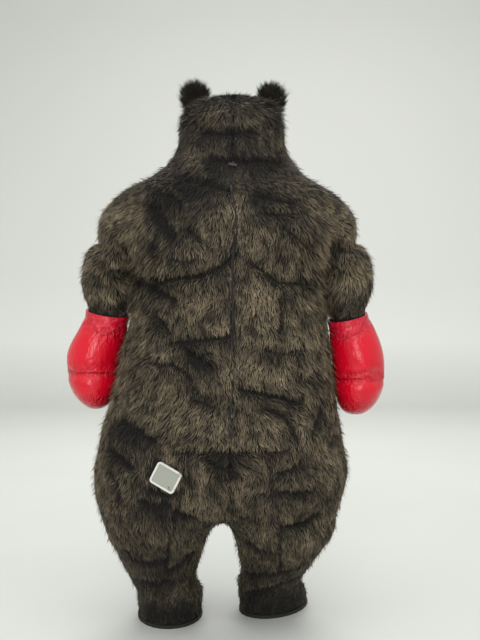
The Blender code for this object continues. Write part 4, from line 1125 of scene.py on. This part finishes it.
def seam_distances(piece, places):
    """How far each place is from the seam across the knuckles and from the mouth, in metres, and
    the height of that seam."""
    mesh = bmesh.new()
    mesh.from_mesh(piece.data)
    knuckles = [vert.co.copy() for vert in seam_between(mesh, HAND, KNUCKLES)]
    mouth = [vert.co.copy() for vert in mesh.verts if vert.is_boundary]
    seam_height = np.mean([point.z for point in knuckles])
    return distance_to(knuckles, places), distance_to(mouth, places), seam_height


def cuff_of(places, normals, side):
    """How far each point is from the cuff seam, in metres, and whether it is on the gusset."""
    flat = flat_of(places)
    far, above = np.full(len(flat), 1e9), np.zeros(len(flat), bool)
    for along, gap in gaps_to(flat, CUFF_SEAM[side]):
        distance = np.hypot(gap[:, 0], gap[:, 1])
        crossed = along[0] * gap[:, 1] - along[1] * gap[:, 0]
        nearer = distance < far
        far[nearer] = distance[nearer]
        above[nearer] = (crossed * np.sign(along[0]) > 0)[nearer]
    in_front = normals[:, 1] > 0.25
    far[in_front] = FAR_AWAY
    return far * MM, above & ~in_front & (flat[:, 1] > GUSSET_FOOT)


gloves = {side: rounded(glove_skin(side), "glove_" + side, 3) for side in SIDES}
for glove in gloves.values():
    print(glove.name, len(glove.data.polygons), "faces")

# %% Let the gloves wrinkle
GLOVE_GROWTH = 0.042
GLOVE_PRESSURE = 13.0
GLOVE_START = 4 * MM  # how far inside its solid the skin starts
GLOVE_CAP = 9 * MM  # how far a point may move
SEAM_REACH = 9 * MM  # how far beside the cuff seam the skin is still held
KNUCKLE_REACH, KNUCKLE_HOLD = 16 * MM, 0.35  # the same at the knuckles, and how firmly
LAST_FRAME = 20
VINYL_CLOTH = {
    "quality": 8, "mass": 0.4, "tension_stiffness": 40, "compression_stiffness": 40,
    "shear_stiffness": 20, "bending_stiffness": 0.5, "tension_damping": 15,
    "compression_damping": 15, "shrink_min": -GLOVE_GROWTH, "use_pressure": True,
    "uniform_pressure_force": GLOVE_PRESSURE,
}


def wrinkle(piece, side):
    """Grows a skin that is held along its seams, and keeps every point within the cap."""
    places, normals = arrays_of(piece)
    near_knuckles, near_mouth, seam_height = seam_distances(piece, places)
    near_cuff, _ = cuff_of(places, normals, side)
    low = places[:, 2] < seam_height

    # It starts inside its solid, but full below the knuckles' seam, and sunk in at the cuff's.
    inset = GLOVE_START * smooth_step(near_mouth, 0, 30 * MM)
    inset -= 7 * MM * low * smooth_step(near_knuckles, -4 * MM, 30 * MM)
    inset += 1.5 * MM * (1 - low) * smooth_step(near_knuckles, 10 * MM, 50 * MM)
    inset -= 4 * MM * (1 - low) * hump(near_knuckles, 0, 14 * MM)
    inset += 1.2 * MM * hump(near_cuff, 0, 6 * MM) * smooth_step(near_mouth, 0, 12 * MM)
    places -= normals * inset[:, None]
    move_points(piece, places)

    behind = np.clip(-1.5 * normals[:, 1], 0, 1)
    across = KNUCKLE_HOLD * np.maximum(0, 1 - near_knuckles / KNUCKLE_REACH) * (0.4 + 0.6 * behind)
    strength = np.maximum(across, 1 - np.minimum(near_cuff, near_mouth / 3) / SEAM_REACH)
    hold = piece.vertex_groups.new(name="held")
    for number in np.nonzero(strength > 0)[0]:
        hold.add([int(number)], float(strength[number]), "REPLACE")
    cloth = piece.modifiers.new("vinyl", "CLOTH")
    for key, value in VINYL_CLOTH.items():
        setattr(cloth.settings, key, value)
    cloth.settings.vertex_group_mass = hold.name
    cloth.settings.effector_weights.gravity = 0
    cloth.collision_settings.use_collision = False
    scene = bpy.context.scene
    for number in range(1, LAST_FRAME + 1):
        scene.frame_set(number)
    bake_modifiers(piece)
    scene.frame_set(1)
    piece.vertex_groups.clear()
    step = arrays_of(piece)[0] - places
    far = np.linalg.norm(step, axis=1)
    step *= np.minimum(1, GLOVE_CAP / np.maximum(far, 1e-9))[:, None]
    move_points(piece, places + step)
    print(piece.name, "moved up to", round(far.max() / MM, 1), "mm")


for side, glove in gloves.items():
    wrinkle(glove, side)

# %% [markdown]
# ### Vinyl
#
# Glove vinyl is a soft PVC skin with a smooth, glossy top coat. It throws one broad highlight where
# it bulges and small sharp ones on every wrinkle. Its colour is a clear red, which painted shade
# darkens in the creases and along the seams. The gusset under the cuff is thinner and paler.
# Attributes on the points say where the gusset is and how much painted shade each crease gets.

# %% Vinyl finish
def make_vinyl_finish():
    """The coat's gloss shows the bulges, and a grain and fine wrinkles break it up."""
    finish, add = new_finish(
        "glossy red vinyl", Roughness=0.17, IOR=1.4, Coat_Weight=0.3, Coat_Roughness=0.08
    )
    place = add(COORDINATES).outputs["Object"]
    broad = add(NOISE, {"Vector": place, "Scale": 11.0, "Detail": 2.0})
    red = add(MIX, {"Factor": broad, "A": "CC001E", "B": "E4042A"}, data_type="RGBA")
    gusset, crease, pucker = (
        add(ATTRIBUTE, attribute_name=key).outputs["Fac"] for key in ("gusset", "crease", "pucker")
    )
    # The gusset's tint is its own paler red; the dark crease tint is painted shade in the creases
    # and along the seams.
    for share, tint in ((gusset, "D41430"), (crease, "7A0012")):
        red = add(MIX, {"Factor": share, "A": red, "B": tint}, data_type="RGBA")
    grain = add(NOISE, {"Vector": place, "Scale": 420.0, "Detail": 2.0})
    relief = add(BUMP, {"Height": grain, "Distance": 0.0004, "Strength": 0.35})
    upright = add("ShaderNodeMapping", {"Vector": place, "Scale": (90.0, 90.0, 45.0)})
    folds = add(NOISE, {"Vector": upright, "Scale": 1.0, "Detail": 3.0, "Distortion": 0.6})
    share = add(MATH, {0: pucker, 1: 0.85, 2: 0.12}, operation="MULTIPLY_ADD")
    relief = add(BUMP, {"Height": folds, "Distance": 0.02, "Strength": share, "Normal": relief})
    return join_surface(finish, red, relief)


vinyl_finish = make_vinyl_finish()
print("made", vinyl_finish.name)

# %% Close the gloves' walls
# The creases and the seams get painted shade, by how hollow the skin is there and how near a seam.
CREASE_DEPTH = 0.25 * MM  # how hollow the skin is where a crease is darkest
CREASE_WIDTH = 1.8 * MM
PUCKER_FADE = 24 * MM
TIP_HEIGHT = 45 * MM  # how far up the lowest part puckers as a seam does


def hollowness(piece):
    """How much of a crease each point lies in, from 0 to 1, by the mean of its neighbours."""
    mesh = bmesh.new()
    mesh.from_mesh(piece.data)
    mesh.normal_update()
    low = np.zeros(len(mesh.verts))
    for vert in mesh.verts:
        around = [edge.other_vert(vert).co for edge in vert.link_edges]
        low[vert.index] = (sum(around, Vector()) / len(around) - vert.co).dot(vert.normal)
    return np.clip(low / CREASE_DEPTH, 0, 1)


def close_wall(outer, skin, wall):
    """Joins a coarse lining, one wall further in, to a fine outside along its open mouth."""
    lining = rounded(skin, outer.name + "_lining", 1)
    places, normals = arrays_of(lining)
    move_points(lining, places - normals * wall)
    lining.data.flip_normals()
    mesh = bmesh.new()
    mesh.from_mesh(outer.data)
    mesh.from_mesh(lining.data)
    bmesh.ops.bridge_loops(mesh, edges=[edge for edge in mesh.edges if edge.is_boundary])
    mesh.to_mesh(outer.data)
    bpy.data.objects.remove(lining)
    outer.data.shade_smooth()


def dress(piece, finish, slot, *solids):
    """Gives a piece its finish, attaches it to the root and hides the solids it stands for. The
    slot is not used.
    """
    set_finish(piece, finish)
    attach(piece, "root")
    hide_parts(*solids)
    print(piece.name, len(piece.data.polygons), "faces")


for side, glove in gloves.items():
    finer = glove.modifiers.new("finer", "SUBSURF")
    finer.levels = finer.render_levels = 1
    bake_modifiers(glove)
    places, normals = arrays_of(glove)
    near_knuckles, near_mouth, _ = seam_distances(glove, places)
    near_cuff, gusset = cuff_of(places, normals, side)
    near_seam = np.minimum(near_knuckles, near_cuff)
    near_tip = np.maximum(0, places[:, 2] - (places[:, 2].min() + TIP_HEIGHT))
    # Painted shade for the creases and seams, how much the vinyl puckers, and where the gusset is.
    put_attributes(
        glove,
        crease=0.32 * np.maximum(hollowness(glove), hump(near_seam, 0, CREASE_WIDTH)),
        pucker=np.exp(-np.minimum.reduce((near_seam, near_tip, near_mouth)) / PUCKER_FADE),
        gusset=gusset,
    )
    close_wall(glove, glove_skin(side), PADDED_WALL)
    dress(glove, vinyl_finish, "glove_vinyl", *(f"{panel}_{side}" for panel in GLOVE_PANELS))

# %% [markdown]
# ## Thumbs, ears, eyes and nose
#
# The thumbs and the ears are stuffed forms that are closed all round. Each is a rounded copy of
# its solid. The ears' cloth lies inside their solid by the depth of their pile, which stands up
# stiffly there, because nothing brushes it down. The eyes and the nose are moulded plastic, and
# their solids are too coarse for a gloss, so rounded copies take their place.

# %% Thumbs
def rounded_solid(node, name, levels, inset=0.0):
    """A rounded copy of a closed solid."""
    piece = rounded(join_pairs(merged(node)), name, levels)
    if inset:
        places, normals = arrays_of(piece)
        move_points(piece, places - normals * inset)
    piece.data.shade_smooth()
    piece.data.materials.clear()
    return piece


for side in SIDES:
    thumb = rounded_solid("glove_thumb_" + side, "thumb_" + side, 3)
    # Painted shade in the thumb's creases.
    put_attributes(thumb, crease=0.6 * hollowness(thumb), gusset=0.0, pucker=0.2)
    dress(thumb, vinyl_finish, "glove_vinyl", "glove_thumb_" + side)

# %% Ears and their pile
EAR_PILE = {
    "Spacing": 0.0013, "Strands per Square Metre": 600000.0, "Strand Width": 0.0017,
    "Lean to Lock": 0.75, "Lock Size": 0.014,
}
FIRST_EAR_SEED = 20


def comb_ear(emitter):
    """Stiff pile that stands up and out from the head."""
    places, normals = arrays_of(emitter)
    across, height = places[:, 0] - places[:, 0].mean(), flat_of(places)[:, 1]
    lie = np.column_stack((15 * across, np.full(len(across), -0.1), np.ones(len(across))))
    lie = unit(lie - 0.6 * normals * (lie * normals).sum(1)[:, None])
    length = (24 + 14 * smooth_step(height, 1880, 1950)) * MM
    cover = smooth_step(height, 1835, 1855)
    put_attributes(
        emitter, lie=lie, hair_length=length, stand=0.8, shade=0.06, cover=cover, restless=0.6
    )


for number, side in enumerate(SIDES):
    ear = rounded_solid("ear_" + side, "ear_pad_" + side, 2, inset=PILE_DEPTH)
    emitter = rounded_solid("ear_" + side, "pile_ear_" + side, 2, inset=PILE_DEPTH)
    comb_ear(emitter)
    plant_pile(emitter, "pile_ear_" + side, Seed=FIRST_EAR_SEED + number, **EAR_PILE)
    dress(ear, backing_finish, "fur", "ear_" + side)

# %% [markdown]
# ## Hard trims and narrow cloths
#
# The eyes and the nose are glossy black plastic with hardly any grain, and the soles are dull
# moulded rubber with a coarse one. The zip's pull and teeth are dark worn metal, whose sheen
# breaks up in patches. The zip's tape, the patch and its binding are woven, so two crossing waves
# make their threads. The soles and the zip keep their solids, which have the right shape.

# %% Finishes of the trims
def make_woven_finish(name, dark, light, thread):
    """Crossing threads that repeat after the given length in millimetres."""
    finish, add = new_finish(name, Roughness=0.7, IOR=1.5, Sheen_Weight=0.2)
    place = add("ShaderNodeSeparateXYZ", {"Vector": add(COORDINATES).outputs["Object"]})
    turns = math.tau / (thread * MM)
    across, along = (
        add(MATH, {0: place.outputs[axis], 1: turns}, operation="MULTIPLY") for axis in ("X", "Z")
    )
    across, along = (add(MATH, {0: turned}, operation="SINE") for turned in (across, along))
    weave = add(MATH, {0: across, 1: along}, operation="MULTIPLY")
    share = add(RANGE, {"Value": weave, "From Min": -1.0})
    colour = add(MIX, {"Factor": share, "A": dark, "B": light}, data_type="RGBA")
    relief = add(BUMP, {"Height": share, "Distance": 0.0005, "Strength": 0.6})
    return join_surface(finish, colour, relief)


# A wet black gloss for the eyes and the nose, and a dull, grainy black for the soles.
plastic_finish = grained_finish(
    "moulded black plastic", "070707", "131211", NOISE, 60.0, 3.0, 0.0001, 0.5,
    Roughness=0.16, IOR=1.5, Coat_Weight=0.4, Coat_Roughness=0.05,
)
rubber_finish = grained_finish(
    "moulded sole rubber", "100F0E", "1E1C1A", NOISE, 300.0, 3.0, 0.0004, 0.5,
    Roughness=0.72, IOR=1.5, Coat_Weight=0.0, Coat_Roughness=0.05,
)
# Metal that has lost its shine, with patches of wear.
pull_finish, tooth_finish = (
    grained_finish(name, dark, light, NOISE, 90.0, 3.0, 0.0, 0.0, Metallic=0.9, Roughness=roughness)
    for name, dark, light, roughness in (
        ("worn nickel", "343230", "4E4B47", 0.6), ("worn zip teeth", "211F1B", "3D3A35", 0.5)
    )
)
# Threads that show on the pale patch and its binding, and only just on the dark zip tape.
patch_finish = make_woven_finish("silver-grey woven cloth", "8C8E84", "B0B2A6", 3.0)
tape_finish = make_woven_finish("pale binding tape", "CFD0C6", "ECECE4", 2.2)
zip_tape_finish = make_woven_finish("dark zip tape", "12110F", "201E1B", 1.6)
print("finishes:", len(bpy.data.materials))

# %% Eyes, nose, soles and zip
for node in ("eye_left", "eye_right", "nose"):
    dress(rounded_solid(node, node + "_button", 3), plastic_finish, "hard_trim", node)
for node, finish in (
    ("sole_left", rubber_finish), ("sole_right", rubber_finish),
    ("zip_chain", zip_tape_finish), ("zip_slider", pull_finish),
):
    set_finish(nodes[node], finish)
    print(node, "is now", finish.name)

# %% Patch and its binding
EDGE_ROUND, FACE_WAVES = 0.8 * MM, 0.5 * MM
NARROW_CLOTHS = (  # solid, slot, finish, flat size and flat area in metres
    ("patch", "patch_cloth", patch_finish, (0.094, 0.078), 0.0073),
    ("patch_binding", "binding_tape", tape_finish, (0.36, 0.014), 0.005),
)


def softened(node, name):
    """A copy of a flat solid with round edges and a slightly uneven face."""
    mesh = merged(node)
    sharp = [e for e in mesh.edges if e.is_manifold and e.calc_face_angle() > math.radians(50)]
    bmesh.ops.bevel(mesh, geom=sharp, offset=EDGE_ROUND, segments=2, profile=0.5, affect="EDGES")
    for _ in range(2):
        wide = [e for e in mesh.edges if e.calc_length() > 6 * MM]
        bmesh.ops.subdivide_edges(mesh, edges=wide, cuts=2, use_grid_fill=True)
    bmesh.ops.triangulate(mesh, faces=[f for f in mesh.faces if len(f.verts) > 4])
    mesh.normal_update()
    moves = [v.normal * noise.noise(v.co * 70) * FACE_WAVES for v in mesh.verts]
    for vert, move in zip(mesh.verts, moves):
        vert.co += move
    piece = mesh_object(mesh, name)
    piece.data.shade_smooth()
    return piece


for node, slot, finish, flat_size, flat_area in NARROW_CLOTHS:
    cloth = softened(node, node + "_cloth")
    dress(cloth, finish, slot, node)

# %% Teeth of the zip
TOOTH_PITCH = 4 * MM
TOOTH_ASIDE, TOOTH_OUT = 1.1 * MM, 0.5 * MM  # its middle, from the middle of the chain's face
TOOTH_SIZE = Vector((3.2, 1.6, 1.4)) * MM  # across the chain, out of it and along it
TOOTH_BEVEL = 0.3 * MM


def zip_line():
    """The middle of the zip chain's face, from the nape down."""
    chain = merged("zip_chain")
    middles = [f.calc_center_median() for f in chain.faces if f.normal.y < -0.6]
    return [place for _, place in sorted(((round(m.z, 3), m) for m in middles), reverse=True)]


def make_teeth():
    """Small bevelled blocks on both sides of the line in turn."""
    line = zip_line()
    body = bmesh.new()
    step, side = 0.0, 1
    for start, end in zip(line, line[1:]):
        way = end - start
        if way.length < 1e-5:
            continue
        ahead = way.normalized()
        across = ahead.cross(Vector((0, 1, 0))).normalized()
        out = across.cross(ahead)
        if out.y > 0:
            out = -out
        while step < way.length:
            middle = start + ahead * step + across * side * TOOTH_ASIDE + out * TOOTH_OUT
            for vert in bmesh.ops.create_cube(body, size=1.0)["verts"]:
                x, y, z = vert.co * TOOTH_SIZE
                vert.co = middle + across * x + out * y + ahead * z
            step += TOOTH_PITCH / 2
            side = -side
        step -= way.length
    bmesh.ops.bevel(body, geom=body.edges[:], offset=TOOTH_BEVEL, segments=1, affect="EDGES")
    return mesh_object(body, "zip_teeth")


teeth = make_teeth()
set_finish(teeth, tooth_finish)
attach(teeth, "root")
print("zip teeth:", len(teeth.data.polygons), "faces")

# %% [markdown]
# ## Finish
#
# The helpers' working meshes are removed, and the triangles of all the shown pieces are counted.

# %% Tidy, measure and finish
for helper in (backing_skin, root_skin):
    bpy.data.objects.remove(helper)
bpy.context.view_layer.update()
total = sum(len(p.vertices) - 2 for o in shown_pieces() for p in o.data.polygons)
print("triangles in all:", total)
